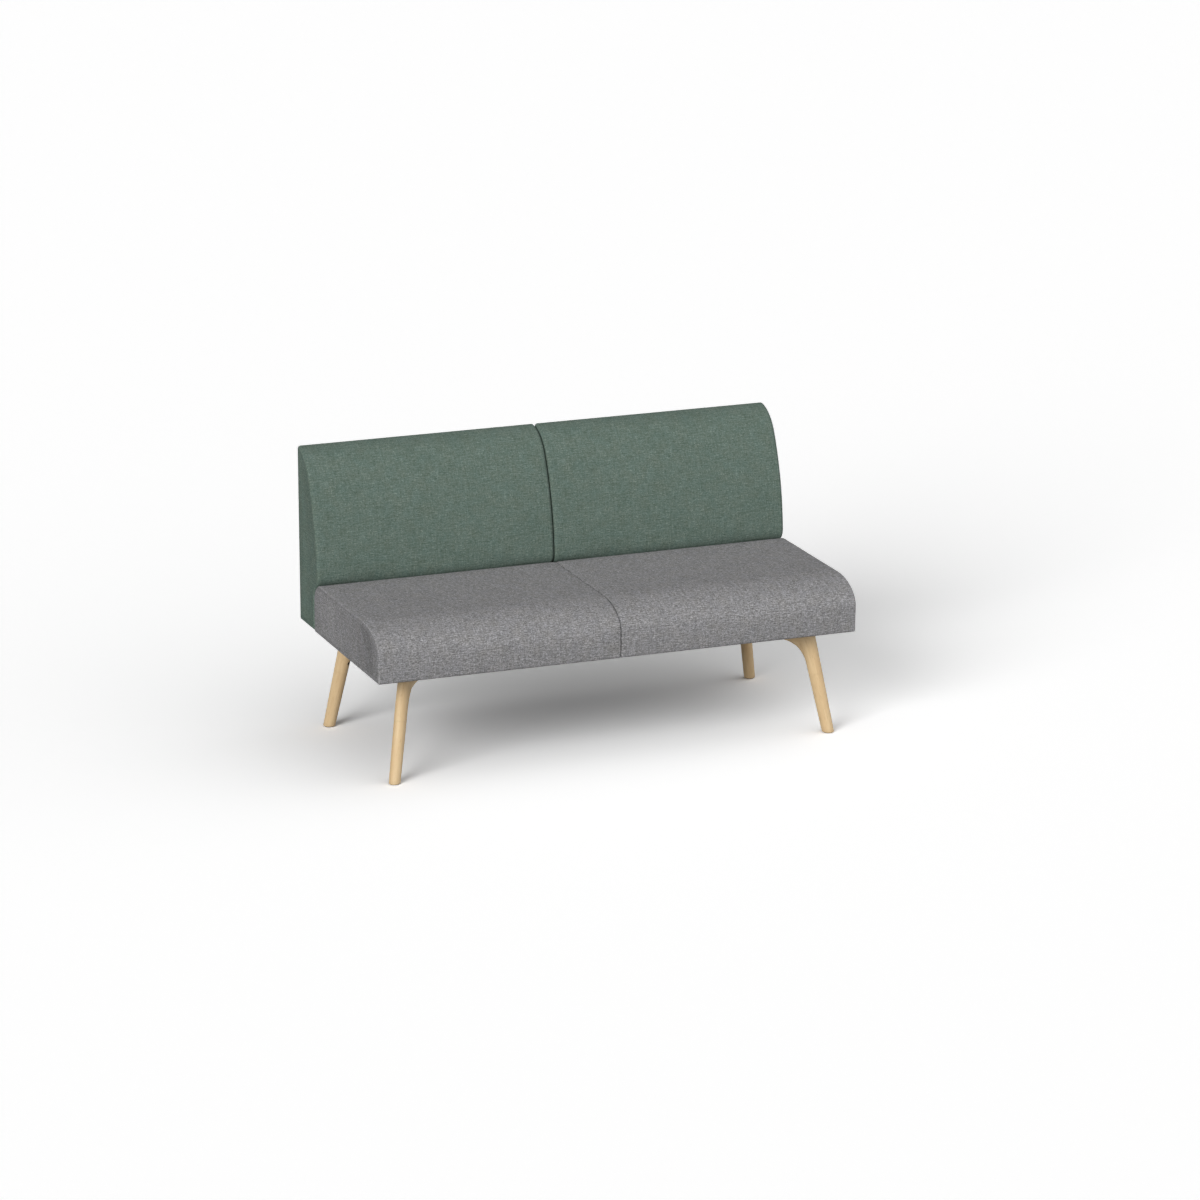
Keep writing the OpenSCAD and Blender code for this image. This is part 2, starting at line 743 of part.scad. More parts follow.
module leg_bolts() {
    color("#b9bcc0") at_leg_bolts() {
        translate([0, 0, head_seat - head_h]) difference() {
            cylinder(h = head_h, d = head_dia);
            translate([0, 0, -past]) socket_cut(socket_depth + past);
        }
        translate([0, 0, head_seat - past]) cylinder(h = bearer_top - head_seat, d = bolt_dia);
    }
}

module leg_washers() {
    color("#b9bcc0") at_leg_bolts() translate([0, 0, head_seat]) difference() {
        cylinder(h = washer_t, d = washer_dia);
        translate([0, 0, -past]) cylinder(h = washer_t + 2 * past, d = bolt_dia + 2 * fit);
    }
}

module leg_tee_nuts() {
    flange_low = bearer_top - tee_flange_t - fit;
    color("#a9acb0") at_leg_bolts() difference() {
        union() {
            translate([0, 0, flange_low]) cylinder(h = tee_flange_t, d = tee_flange_dia);
            translate([0, 0, flange_low - tee_barrel_l])
                cylinder(h = tee_barrel_l + past, d = tee_barrel_dia);
        }
        translate([0, 0, flange_low - tee_barrel_l - past])
            cylinder(h = tee_barrel_l + tee_flange_t + 2 * past, d = bolt_dia + 2 * thread_gap);
    }
}

// Room in the end of a foot for its glide
module glide_hole() {
    translate([0, 0, -past]) cylinder(h = glide_lift + glide_sink + past, d = glide_dia + 2 * fit);
    cylinder(h = glide_lift + glide_sink + stem_l + fit, d = stem_dia + 2 * fit);
}

module foot_glides() {
    color("#2a2a2c") at_feet() {
        cylinder(h = glide_lift + glide_sink, d = glide_dia);
        cylinder(h = glide_lift + glide_sink + stem_l, d = stem_dia);
    }
}

seat_cover();
seat_foam();
seat_webbing();
seat_base_cloth();
front_rail();
rear_rail();
end_rail(-1);  // left_end_rail
end_rail(1);  // right_end_rail
middle_rail();
corner_blocks();
leg_bearer(-1);  // left_leg_bearer
leg_bearer(1);  // right_leg_bearer
back_cover(-1);  // left_back_cover
back_foam(-1);  // left_back_foam
back_board(-1);  // left_back_board
back_foot_board(-1);  // left_back_foot_board
back_spacers(-1);  // left_back_spacers
back_base_cloth(-1);  // left_back_base_cloth
back_cover(1);  // right_back_cover
back_foam(1);  // right_back_foam
back_board(1);  // right_back_board
back_foot_board(1);  // right_back_foot_board
back_spacers(1);  // right_back_spacers
back_base_cloth(1);  // right_back_base_cloth
back_bolts();
back_washers();
back_tee_nuts();
leg(-1, -1);  // front_left_leg
leg(1, -1);  // front_right_leg
leg(-1, 1);  // rear_left_leg
leg(1, 1);  // rear_right_leg
arm(-1, -1);  // front_left_arm
arm(1, -1);  // front_right_arm
arm(-1, 1);  // rear_left_arm
arm(1, 1);  // rear_right_arm
leg_tenons();
leg_cross_screws();
leg_bolts();
leg_washers();
leg_tee_nuts();
foot_glides();
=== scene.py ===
import math
import bpy
import bmesh
import numpy as np
from mathutils import Matrix, Vector, noise


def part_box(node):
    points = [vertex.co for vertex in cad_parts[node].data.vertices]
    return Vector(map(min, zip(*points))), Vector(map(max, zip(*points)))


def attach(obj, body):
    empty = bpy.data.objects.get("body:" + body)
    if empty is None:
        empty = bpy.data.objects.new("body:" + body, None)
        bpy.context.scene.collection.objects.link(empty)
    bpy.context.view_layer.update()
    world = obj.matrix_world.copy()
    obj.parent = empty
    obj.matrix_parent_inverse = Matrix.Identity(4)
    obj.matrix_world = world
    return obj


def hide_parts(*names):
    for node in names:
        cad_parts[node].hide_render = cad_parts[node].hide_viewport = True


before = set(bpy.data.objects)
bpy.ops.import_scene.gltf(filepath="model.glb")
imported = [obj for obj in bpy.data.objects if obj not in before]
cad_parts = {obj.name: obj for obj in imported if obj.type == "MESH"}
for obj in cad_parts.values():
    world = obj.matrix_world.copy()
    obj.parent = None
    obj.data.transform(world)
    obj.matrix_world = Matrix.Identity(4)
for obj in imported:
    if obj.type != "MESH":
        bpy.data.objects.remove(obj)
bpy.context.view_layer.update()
scene = bpy.context.scene
print("frame loaded:", len(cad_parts), "nodes")


def newObject(name, data):
    thing = bpy.data.objects.new(name, data)
    scene.collection.objects.link(thing)
    return thing


def edgeOf(node, edge, room=0.0):
    # how far a node reaches, such as "high x", moved by a little room, to a tenth of a millimetre
    end, axis = edge.split()
    return round(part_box(node)[end == "high"]["xyz".index(axis)] + room, 4)


# camera, where the photograph was taken from; lengths are metres, the lens is in millimetres

photoView = dict(place=(-4.788, -12.418, 4.185), turn=21.363, down=15.976, focal=148.8, sensor=36,
                 farthest=200)


def makeCamera():
    lens = bpy.data.cameras.new("photoCamera")
    lens.lens = photoView["focal"]
    lens.sensor_width = photoView["sensor"]
    lens.clip_end = photoView["farthest"]
    camera = newObject("photoCamera", lens)
    camera.location = photoView["place"]
    camera.rotation_euler = (math.radians(90 - photoView["down"]), 0, math.radians(-photoView["turn"]))
    scene.camera = camera


makeCamera()


# materials

def tint(red, green, blue):
    # a colour as it is read off a screen, 0 to 255, made linear
    def linear(value):
        value /= 255
        return value / 12.92 if value <= 0.04045 else ((value + 0.055) / 1.055) ** 2.4
    return (linear(red), linear(green), linear(blue), 1)


class Wire:
    # an output socket; plain arithmetic on it adds Math nodes
    def __init__(self, board, node, out=0):
        self.board = board
        self.node = node
        self.socket = node.outputs[out] if node.outputs else None

    def at(self, out):
        return Wire(self.board, self.node, out)

    def calc(self, operation, *values):
        return self.board.add("ShaderNodeMath", {"operation": operation}, *values)

    def __add__(self, other):
        return self.calc("ADD", self, other)

    def __radd__(self, other):
        return self.calc("ADD", other, self)

    def __sub__(self, other):
        return self.calc("SUBTRACT", self, other)

    def __rsub__(self, other):
        return self.calc("SUBTRACT", other, self)

    def __mul__(self, other):
        return self.calc("MULTIPLY", self, other)

    def __rmul__(self, other):
        return self.calc("MULTIPLY", other, self)

    def __truediv__(self, other):
        return self.calc("DIVIDE", self, other)

    def floor(self):
        return self.calc("FLOOR", self)

    def fract(self):
        return self.calc("FRACT", self)

    def cos(self):
        return self.calc("COSINE", self)

    def larger(self, other):
        return self.calc("MAXIMUM", self, other)

    def above(self, low, high):
        # 0 under low, 1 over high, straight between
        return self.board.add("ShaderNodeMapRange", {"clamp": True}, self, low, high, 0.0, 1.0)


class Board:
    # the nodes of one owner: a material, the world or a Geometry Nodes group
    def __init__(self, owner):
        self.owner = owner
        self.tree = owner if isinstance(owner, bpy.types.NodeTree) else owner.node_tree
        self.tree.nodes.clear()

    def add(self, kind, settings=None, *values, into=None, out=0):
        node = self.tree.nodes.new(kind)
        for key, value in (settings or {}).items():
            if key == "stops":
                while len(node.color_ramp.elements) < len(value):
                    node.color_ramp.elements.new(0.5)
                for element, (place, colour) in zip(node.color_ramp.elements, value):
                    element.position = place
                    element.color = colour
            else:
                setattr(node, key, value)
        for place, value in list(enumerate(values)) + list((into or {}).items()):
            if isinstance(value, Wire):
                self.tree.links.new(value.socket, node.inputs[place])
            elif value is not None:
                node.inputs[place].default_value = value
        return Wire(self, node, out)

    def vector(self, x, y=0.0, z=0.0):
        return self.add("ShaderNodeCombineXYZ", None, x, y, z)

    def noise(self, place, scale, detail=2.0, rough=0.5):
        return self.add("ShaderNodeTexNoise", {"noise_dimensions": "3D"}, into={
            "Vector": place, "Scale": scale, "Detail": detail, "Roughness": rough})

    def mix(self, share, first, second):
        return self.add("ShaderNodeMix", {"data_type": "RGBA"}, into={0: share, 6: first, 7: second}, out=2)

    def seen(self):
        # 1 for what the camera, a gloss or a glass looks at, 0 for light on its way
        rays = self.add("ShaderNodeLightPath")
        straight = rays.at("Is Camera Ray").larger(rays.at("Is Glossy Ray"))
        return straight.larger(rays.at("Is Transmission Ray"))

    def times(self, colour, factors):
        return self.add("ShaderNodeVectorMath", {"operation": "MULTIPLY"}, colour, factors)

    def ramp(self, share, stops):
        return self.add("ShaderNodeValToRGB", {"stops": stops}, share)

    def finish(self, colour, rough=0.8, height=None, depth=0.0005, strength=1.0, **fixed):
        sockets = {"Base Color": colour, "Roughness": rough}
        if height is not None:
            sockets["Normal"] = self.add("ShaderNodeBump", None, into={
                "Strength": strength, "Distance": depth, "Height": height})
        names = dict(sheen="Sheen Weight", metal="Metallic", level="Specular IOR Level",
                     coat="Coat Weight", coatRough="Coat Roughness")
        sockets.update({names[key]: value for key, value in fixed.items()})
        surface = self.add("ShaderNodeBsdfPrincipled", None, into=sockets)
        self.add("ShaderNodeOutputMaterial", None, surface)
        return self.owner


def newMaterial(name):
    material = bpy.data.materials.new(name)
    material.use_nodes = True
    return material


# what both cloths share: scales count per metre, nextThread keeps neighbouring threads apart, and the
# rest are shares
weave = dict(wanderScale=22.0, cloudScale=14.0, hueScale=26.0, hueFrom=0.36, hueTo=0.62, nextThread=5.31,
             streakLong=0.3, streakShort=0.9, crossing=0.45)


def cover(name, yarn):
    # plain weave of slubbed yarn that follows the piece's own cloth map, in metres;
    # the third number of a noise's place only keeps the patterns apart
    board = Board(newMaterial(name))
    place = board.add("ShaderNodeUVMap", {"uv_map": "cloth"})
    split = board.add("ShaderNodeSeparateXYZ", None, place)
    x, y = split.at("X"), split.at("Y")
    wander = board.noise(place, weave["wanderScale"], 1.0).at("Color")
    wander = board.add("ShaderNodeSeparateXYZ", None, wander)
    u = x / yarn["pitch"] + wander.at("X") * yarn["wander"]
    v = y / yarn["pitch"] + wander.at("Y") * yarn["wander"]
    column, row = u.floor(), v.floor()
    warpRound = ((u - column - 0.5) * math.pi).cos()
    weftRound = ((v - row - 0.5) * math.pi).cos()
    over = ((column + row) * 0.5).fract() * 2          # 1 where the warp lies on top
    warpTone = board.noise(board.vector(column * weave["nextThread"], v * yarn["slub"]), 1.0, 1.0)
    weftTone = board.noise(board.vector(u * yarn["slub"], row * weave["nextThread"], 7.7), 1.0, 1.0)
    tone = over * warpTone + (1 - over) * weftTone
    fleck = board.noise(place, yarn["fleckScale"], 1.0, 0.6)
    long, short = yarn["dash"]
    dashAcross = board.noise(board.vector(x * long, y * short), 1.0, 1.0)
    dashUp = board.noise(board.vector(x * short, y * long, 3.3), 1.0, 1.0)
    long, short = long * weave["streakLong"], short * weave["streakShort"]
    streakAcross = board.noise(board.vector(x * long, y * short, 5.1), 1.0, 1.0)
    streakUp = board.noise(board.vector(x * short, y * long, 9.3), 1.0, 1.0)
    cloud = board.noise(place, weave["cloudScale"], 2.0)
    mixed = 0.5 + (tone - 0.5) * yarn["tone"] + (fleck - 0.5) * yarn["fleck"]
    mixed = mixed + (cloud - 0.5) * yarn["cloud"]
    mixed = mixed + (dashAcross - 0.5) * yarn["dashAcross"] + (dashUp - 0.5) * yarn["dashUp"]
    mixed = mixed + (streakAcross - 0.5) * yarn["streakAcross"] + (streakUp - 0.5) * yarn["streakUp"]
    colour = board.ramp(mixed, yarn["colours"])
    hue = board.noise(place, weave["hueScale"], 2.0) * 0.5 + streakAcross * 0.25 + streakUp * 0.25
    warm, cool = board.times(colour, yarn["warm"]), board.times(colour, yarn["cool"])
    colour = board.mix(hue.above(weave["hueFrom"], weave["hueTo"]), warm, cool)
    # painted light from the cushions: darker as painted shade in the seams, lighter as a painted highlight on
    # the ends' rounded edges
    shade = 1 - board.add("ShaderNodeAttribute", {"attribute_name": "crease"}, out="Fac")
    colour = board.times(colour, board.vector(shade, shade, shade))
    cross = weave["crossing"]
    height = over * warpRound * (1 - cross + cross * weftRound)
    height = height + (1 - over) * weftRound * (1 - cross + cross * warpRound)
    height = height + fleck * yarn["fuzz"] + dashAcross * yarn["fuzz"]
    return board.finish(colour, yarn["rough"], height, yarn["depth"], yarn["bump"], level=0.12)


# pitch and depth are metres, scales and dashes count per metre, and the rest say how strongly each
# pattern shows
greyYarn = dict(
    pitch=0.0019, wander=0.8, slub=0.5, fleckScale=320.0, dash=(115.0, 330.0),
    tone=0.5, fleck=0.4, dashAcross=0.5, dashUp=0.22, streakAcross=0.3, streakUp=0.16, cloud=0.05,
    fuzz=0.5, depth=0.0005, bump=0.3, rough=0.95,
    warm=(1.012, 1.0, 0.982), cool=(0.99, 0.996, 1.022),
    colours=[(0.0, tint(59, 59, 61)), (0.38, tint(112, 112, 112)), (0.62, tint(156, 155, 156)),
             (1.0, tint(224, 223, 224))])
greenYarn = dict(
    pitch=0.0014, wander=0.9, slub=0.5, fleckScale=300.0, dash=(115.0, 270.0),
    tone=0.75, fleck=0.55, dashAcross=0.5, dashUp=0.22, streakAcross=0.4, streakUp=0.26, cloud=0.14,
    fuzz=0.4, depth=0.0004, bump=0.3, rough=0.95,
    warm=(1.03, 0.995, 0.98), cool=(0.965, 1.008, 1.035),
    colours=[(0.0, tint(54, 70, 62)), (0.4, tint(90, 106, 96)), (0.6, tint(103, 117, 108)),
             (1.0, tint(143, 156, 147))])


# how many waves each pattern has per metre, across and along the grain, and the wood's tones
ash = dict(
    bend=(12, 3), rings=(130, 3.5), figure=(40, 7), pores=(900, 45), sway=1.4, poreFrom=0.60, poreTo=0.74,
    tones=[(0.0, tint(198, 163, 119)), (0.45, tint(218, 189, 145)), (1.0, tint(238, 215, 174))],
    poreTone=tint(166, 132, 90), poreShare=0.45, shade=0.12, ringShare=0.66, figureShare=0.8, rough=0.42,
    uneven=0.16, ringHigh=0.25, depth=0.00012, bump=0.5, level=0.4, coat=0.08, coatRough=0.35)


def wood(name, grain, darkness=0.0):
    # grain is the attribute that holds each point's place in its own stick, or None
    board = Board(newMaterial(name))
    if grain:
        place = board.add("ShaderNodeAttribute", {"attribute_name": grain}, out="Vector")
    else:
        place = board.add("ShaderNodeTexCoord", None, out="Object")
    split = board.add("ShaderNodeSeparateXYZ", None, place)
    x, y, z = split.at("X"), split.at("Y"), split.at("Z")
    long, wide, deep = (z, x, y) if grain else (x, y, z)

    def pattern(waves, detail, rough=0.5, sway=None):
        first, second = wide * waves[0], deep * waves[0]
        if sway is not None:
            first, second = first + sway * ash["sway"], second + sway
        return board.noise(board.vector(first, second, long * waves[1]), 1.0, detail, rough)

    bend = pattern(ash["bend"], 2.0)
    rings = pattern(ash["rings"], 3.0, 0.6, bend)
    figure = pattern(ash["figure"], 2.0)
    pore = pattern(ash["pores"], 1.0).above(ash["poreFrom"], ash["poreTo"])
    shade = ash["shade"] + rings * ash["ringShare"] + (figure - 0.5) * ash["figureShare"] - darkness
    colour = board.ramp(shade, ash["tones"])
    colour = board.mix(pore * ash["poreShare"], colour, ash["poreTone"])
    height = pore * -1.0 + rings * ash["ringHigh"]
    return board.finish(colour, ash["rough"] + figure * ash["uneven"], height, ash["depth"], ash["bump"],
                        level=ash["level"], coat=ash["coat"], coatRough=ash["coatRough"])


# scales count per metre; from and to are where one tone gives way to the other
plainLook = dict(toneFrom=0.3, toneTo=0.7, uneven=0.2, bump=0.6)
metalLook = dict(brushScale=900.0, stainScale=90.0, toneFrom=0.3, toneTo=0.7, uneven=0.25, depth=0.00004,
                 bump=0.4)
strapWeave = dict(nextThread=3.7, rough=0.85, uneven=0.1, depthShare=0.25, bump=0.6, sheen=0.1, level=0.2)


def plainStuff(name, dark, light, scale, rough, depth):
    # moulded, cut or foamed stuff: two tones of fine speckle and a bump of the same
    board = Board(newMaterial(name))
    place = board.add("ShaderNodeTexCoord", None, out="Object")
    speckle = board.noise(place, scale, 3.0, 0.6)
    look = plainLook
    colour = board.mix(speckle.above(look["toneFrom"], look["toneTo"]), dark, light)
    rough = rough + (speckle - 0.5) * look["uneven"]
    return board.finish(colour, rough, speckle, depth, look["bump"])


def metal(name, dark, light, rough):
    board = Board(newMaterial(name))
    place = board.add("ShaderNodeTexCoord", None, out="Object")
    look = metalLook
    brushed = board.noise(place, look["brushScale"], 2.0)
    stain = board.noise(place, look["stainScale"], 2.0)
    colour = board.mix(stain.above(look["toneFrom"], look["toneTo"]), dark, light)
    rough = rough + (brushed - 0.5) * look["uneven"]
    return board.finish(colour, rough, brushed, look["depth"], look["bump"], metal=1.0)


def wovenStrap(name, dark, light, pitch):
    # webbing and dust cloth, read in the piece's own place because they lie flat
    board = Board(newMaterial(name))
    place = board.add("ShaderNodeTexCoord", None, out="Object")
    split = board.add("ShaderNodeSeparateXYZ", None, place)
    u = split.at("X") / pitch
    v = split.at("Y") / pitch
    column, row = u.floor(), v.floor()
    over = ((column + row) * 0.5).fract() * 2
    warp = ((u - column - 0.5) * math.pi).cos()
    weft = ((v - row - 0.5) * math.pi).cos()
    height = over * warp + (1 - over) * weft
    look = strapWeave
    tone = board.noise(board.vector(column * look["nextThread"], row * look["nextThread"]), 1.0, 1.0)
    colour = board.mix(tone, dark, light)
    return board.finish(colour, look["rough"] - height * look["uneven"], height, pitch * look["depthShare"],
                        look["bump"], sheen=look["sheen"], level=look["level"])


greyCloth = cover("grey_cloth", greyYarn)
greenCloth = cover("green_cloth", greenYarn)
paleWood = wood("pale_wood", "grain")
frameWood = wood("frame_wood", None, 0.12)
foamStuff = plainStuff("foam", tint(214, 203, 160), tint(240, 232, 200), 420.0, 0.95, 0.0006)
strapCloth = wovenStrap("webbing", tint(30, 30, 33), tint(58, 58, 62), 0.0016)
dustCloth = wovenStrap("dust_cloth", tint(22, 22, 24), tint(44, 44, 47), 0.0009)
zinc = metal("zinc_steel", tint(150, 152, 156), tint(196, 198, 202), 0.32)
blackSteel = metal("black_steel", tint(16, 16, 17), tint(34, 34, 36), 0.45)
glideStuff = plainStuff("glide_plastic", tint(30, 30, 32), tint(48, 48, 50), 700.0, 0.55, 0.0001)
print("materials made")


# outlines in the Y-Z plane, metres

leastRadius = 0.0006
hemCells = 3          # cells of an outline that go round each lower edge


def arc(centre, radius, start, end):
    steps = max(2, int(abs(end - start) / 1.5))
    turn = np.radians(np.linspace(start, end, steps + 1))
    wide, high = (radius, radius) if np.isscalar(radius) else radius
    return np.stack([centre[0] + wide * np.cos(turn), centre[1] + high * np.sin(turn)], 1)


def path(*parts):
    return np.concatenate([np.atleast_2d(part) for part in parts])


def spread(line, count, cell=0.008, turnShare=3.0):
    # count places along a line, closer together where it turns; the end is left to the next line
    step = np.diff(line, axis=0)
    length = np.hypot(step[:, 0], step[:, 1])
    keep = length > 1e-7
    line = np.concatenate([line[:1], line[1:][keep]])
    step, length = step[keep], length[keep]
    heading = np.unwrap(np.arctan2(step[:, 1], step[:, 0]))
    turn = np.abs(np.diff(heading))
    share = np.zeros(len(length))
    share[:-1] += turn / 2
    share[1:] += turn / 2
    weight = np.concatenate([[0], np.cumsum(length / cell + turnShare * share)])
    along = np.linspace(0, weight[-1], count + 1)[:-1]
    return np.stack([np.interp(along, weight, line[:, k]) for k in (0, 1)], 1)


# turns are degrees; up and over count the cells of the outline; a swell is how far air may push a
# face or an end out, and give is how much of its pull at the corners the cover follows
seatSize = dict(
    halfWidth=0.7010, front=-0.3405, rear=0.213, low=0.2995, top=0.4435, noseRun=0.125, noseDrop=0.068,
    noseTurn=128, rearRadius=0.056, rearTurn=45, hemRadius=0.005, lean=0.0025, hem=0.010, endRound=0.0045,
    up=26, over=66, cell=0.009, faceSwell=0.0042, endSwell=0.0005, give=1.0,
    # the seam's last share is painted shade: how much darker the cloth is drawn along the middle seam, where
    # its groove is shadowed
    seam=True, seamDeep=0.0050, seamWide=0.0017, seamPaintedShade=0.24)
backSize = dict(
    middle=0.3519, halfWidth=0.3503, front=0.2135, rear=0.3405, low=0.3018, top=0.8063, belly=0.171,
    bellyHigh=0.440, frontRadius=0.672, topRadius=0.118, topShare=0.62, topEdge=0.009, rollHigh=0.026,
    rollRadius=0.038, seatCentre=(0.157, 0.3875), seatRadius=0.0562, hemRadius=0.006, lean=0.0, hem=0.010,
    endRound=0.008, up=70, over=18, cell=0.009, faceSwell=0.0045, endSwell=0.0007, give=0.0, seam=False)


def seatSides(size, inset):
    hem = max(size["hemRadius"] - inset, leastRadius)
    low, rear = size["low"] + inset + hem, size["rear"] - inset - hem
    front = size["front"] + size["lean"] + inset + hem
    rearCentre = (size["rear"] - size["rearRadius"], size["top"] - size["rearRadius"])
    noseCentre = (size["front"] + size["noseRun"], size["top"] - size["noseDrop"])
    nose = (size["noseRun"] - inset, size["noseDrop"] - inset)
    rounded = size["rearRadius"] - inset
    rearTurn, noseTurn = size["rearTurn"], size["noseTurn"]
    return dict(
        rear=path(arc((rear, low), hem, 315, 360), arc(rearCentre, rounded, 0, rearTurn)),
        top=path(arc(rearCentre, rounded, rearTurn, 90), arc(noseCentre, nose, 90, noseTurn)),
        front=path(arc(noseCentre, nose, noseTurn, 180), arc((front, low), hem, 180, 225)),
        frontHem=path(arc((front, low), hem, 225, 270)),
        rearHem=path(arc((rear, low), hem, 270, 315)))


def backSides(size, inset):
    # rear, small edge, round top, long belly, roll and the hollow round that lies on the seat
    hem = max(size["hemRadius"] - inset, leastRadius)
    low, rear = size["low"] + inset + hem, size["rear"] - inset - hem
    front = size["front"] + inset + hem
    frontCentre = np.array([size["belly"] + size["frontRadius"], size["bellyHigh"]])
    lift = size["top"] - size["bellyHigh"] - size["topRadius"]
    topTurn = math.asin(lift / (size["frontRadius"] - size["topRadius"]))
    away = lambda turn: np.array([-math.cos(turn), math.sin(turn)])
    topCentre = frontCentre + (size["frontRadius"] - size["topRadius"]) * away(topTurn)
    rollTurn = math.asin(size["rollHigh"] / size["frontRadius"])
    rollCentre = frontCentre + (size["frontRadius"] - size["rollRadius"]) * away(rollTurn)
    edge = max(size["topEdge"] - inset, leastRadius)
    edgeY = size["rear"] - inset - edge
    topRadius = size["topRadius"] - inset
    edgeRise = math.sqrt((topRadius - edge) ** 2 - (edgeY - topCentre[0]) ** 2)
    edgeCentre = np.array([edgeY, topCentre[1] + edgeRise])
    edgeTurn = math.degrees(math.atan2(edgeRise, edgeY - topCentre[0]))
    roll = size["rollRadius"] - inset
    seat = size["seatRadius"] + inset
    seatCentre = np.array(size["seatCentre"])
    apart = np.linalg.norm(seatCentre - rollCentre)
    along = (roll * roll - seat * seat + apart * apart) / (2 * apart)
    aside = math.sqrt(max(roll * roll - along * along, 0))
    toSeat = (seatCentre - rollCentre) / apart
    meet = rollCentre + along * toSeat + aside * np.array([toSeat[1], -toSeat[0]])
    heading = lambda p, q: math.degrees(math.atan2(q[1] - p[1], q[0] - p[0]))
    topDegrees, rollDegrees = math.degrees(topTurn), math.degrees(rollTurn)
    share = edgeTurn + (180 - topDegrees - edgeTurn) * size["topShare"]
    return dict(
        rear=path(arc((rear, low), hem, 315, 360), arc(edgeCentre, edge, 0, edgeTurn * 0.5)),
        top=path(arc(edgeCentre, edge, edgeTurn * 0.5, edgeTurn), arc(topCentre, topRadius, edgeTurn, share)),
        front=path(
            arc(topCentre, topRadius, share, 180 - topDegrees),
            arc(frontCentre, size["frontRadius"] - inset, 180 - topDegrees, 180 - rollDegrees),
            arc(rollCentre, roll, 180 - rollDegrees, 360 + heading(rollCentre, meet)),
            arc(seatCentre, seat, heading(seatCentre, meet), 0),
            arc((front, low), hem, 180, 225)),
        frontHem=path(arc((front, low), hem, 225, 270)),
        rearHem=path(arc((rear, low), hem, 270, 315)))


def sidesOf(size, inset):
    return seatSides(size, inset) if size["seam"] else backSides(size, inset)


def ringOf(size, inset, up, over):
    # closed outline: up the rear, over the top, down the front, back along the underside
    sides = sidesOf(size, inset)
    hemFront = np.array([size["front"] + size["lean"] + size["hem"], size["low"] + inset])
    hemRear = np.array([size["rear"] - size["hem"], size["low"] + inset])
    parts = [
        (path(sides["rear"], sides["top"][:1]), up),
        (path(sides["top"], sides["front"][:1]), over),
        (path(sides["front"], sides["frontHem"][:1]), up),
        (path(sides["frontHem"], hemFront), hemCells),
        (path(hemFront, hemRear), over - 2 * hemCells),
        (path(hemRear, sides["rearHem"], sides["rear"][:1]), hemCells)]
    return np.concatenate([spread(line, count) for line, count in parts])


def ringSpan(ring):
    # distance along a ring at each of its points, and all round
    step = np.roll(ring, -1, axis=0) - ring
    length = np.hypot(step[:, 0], step[:, 1])
    return np.concatenate([[0], np.cumsum(length)])


def outwards(ring):
    # the way out at each point of a ring
    way = np.roll(ring, -1, axis=0) - np.roll(ring, 1, axis=0)
    way /= np.hypot(way[:, 0], way[:, 1])[:, None]
    return np.stack([way[:, 1], -way[:, 0]], 1)


def patch(ring, up, over):
    # fills a closed outline with a grid that shares its points
    rear = ring[:up + 1]
    top = ring[up:up + over + 1]
    front = ring[up + over:2 * up + over + 1][::-1]
    low = np.concatenate([ring[2 * up + over:], ring[:1]])[::-1]
    a = np.linspace(0, 1, over + 1)[:, None, None]
    b = np.linspace(0, 1, up + 1)[None, :, None]
    flat = (1 - a) * (1 - b) * rear[0] + a * (1 - b) * front[0] + (1 - a) * b * rear[-1] + a * b * front[-1]
    return (1 - a) * rear[None] + a * front[None] + (1 - b) * low[:, None] + b * top[:, None] - flat


def tubeFaces(rings, count):
    # the faces between neighbouring rings of count points each
    faces = []
    for i in range(rings - 1):
        for j in range(count):
            k = (j + 1) % count
            faces.append((i * count + j, i * count + k, (i + 1) * count + k, (i + 1) * count + j))
    return faces


def patchIndex(up, over):
    # which ring point each edge point of the grid is, or -1 inside
    index = -np.ones((over + 1, up + 1), int)
    for b in range(up):
        index[0, b] = b
        index[over, up - b] = up + over + b
    for a in range(over):
        index[a, up] = up + a
        index[over - a, 0] = 2 * up + over + a
    return index


def addCap(points, faces, ring, x, grid, side):
    # closes an end with a grid whose edge is the ring that starts at point number ring; x is its depth
    over, up = len(grid) - 1, len(grid[0]) - 1
    spot = patchIndex(up, over)
    inner = spot < 0
    spot += ring
    for a, b in np.argwhere(inner):
        spot[a, b] = len(points)
        points.append((x[a, b], *grid[a, b]))
    for a in range(over):
        for b in range(up):
            quad = (spot[a, b], spot[a, b + 1], spot[a + 1, b + 1], spot[a + 1, b])
            faces.append(quad[::side])


def facesOut(mesh, mostCorners=None):
    # turns every face outwards, splits faces of more corners, and returns how many edges are open
    tool = bmesh.new()
    tool.from_mesh(mesh)
    bmesh.ops.recalc_face_normals(tool, faces=tool.faces)
    openEdges = sum(1 for edge in tool.edges if not edge.is_manifold)
    if tool.calc_volume(signed=True) < 0:
        bmesh.ops.reverse_faces(tool, faces=tool.faces)
    if mostCorners:
        bmesh.ops.triangulate(tool, faces=[face for face in tool.faces if len(face.verts) > mostCorners])
    tool.to_mesh(mesh)
    tool.free()
    return openEdges


air = dict(cell=0.014, frames=20, quality=4, pressure=4, tension=40, shear=20, bending=1.5)


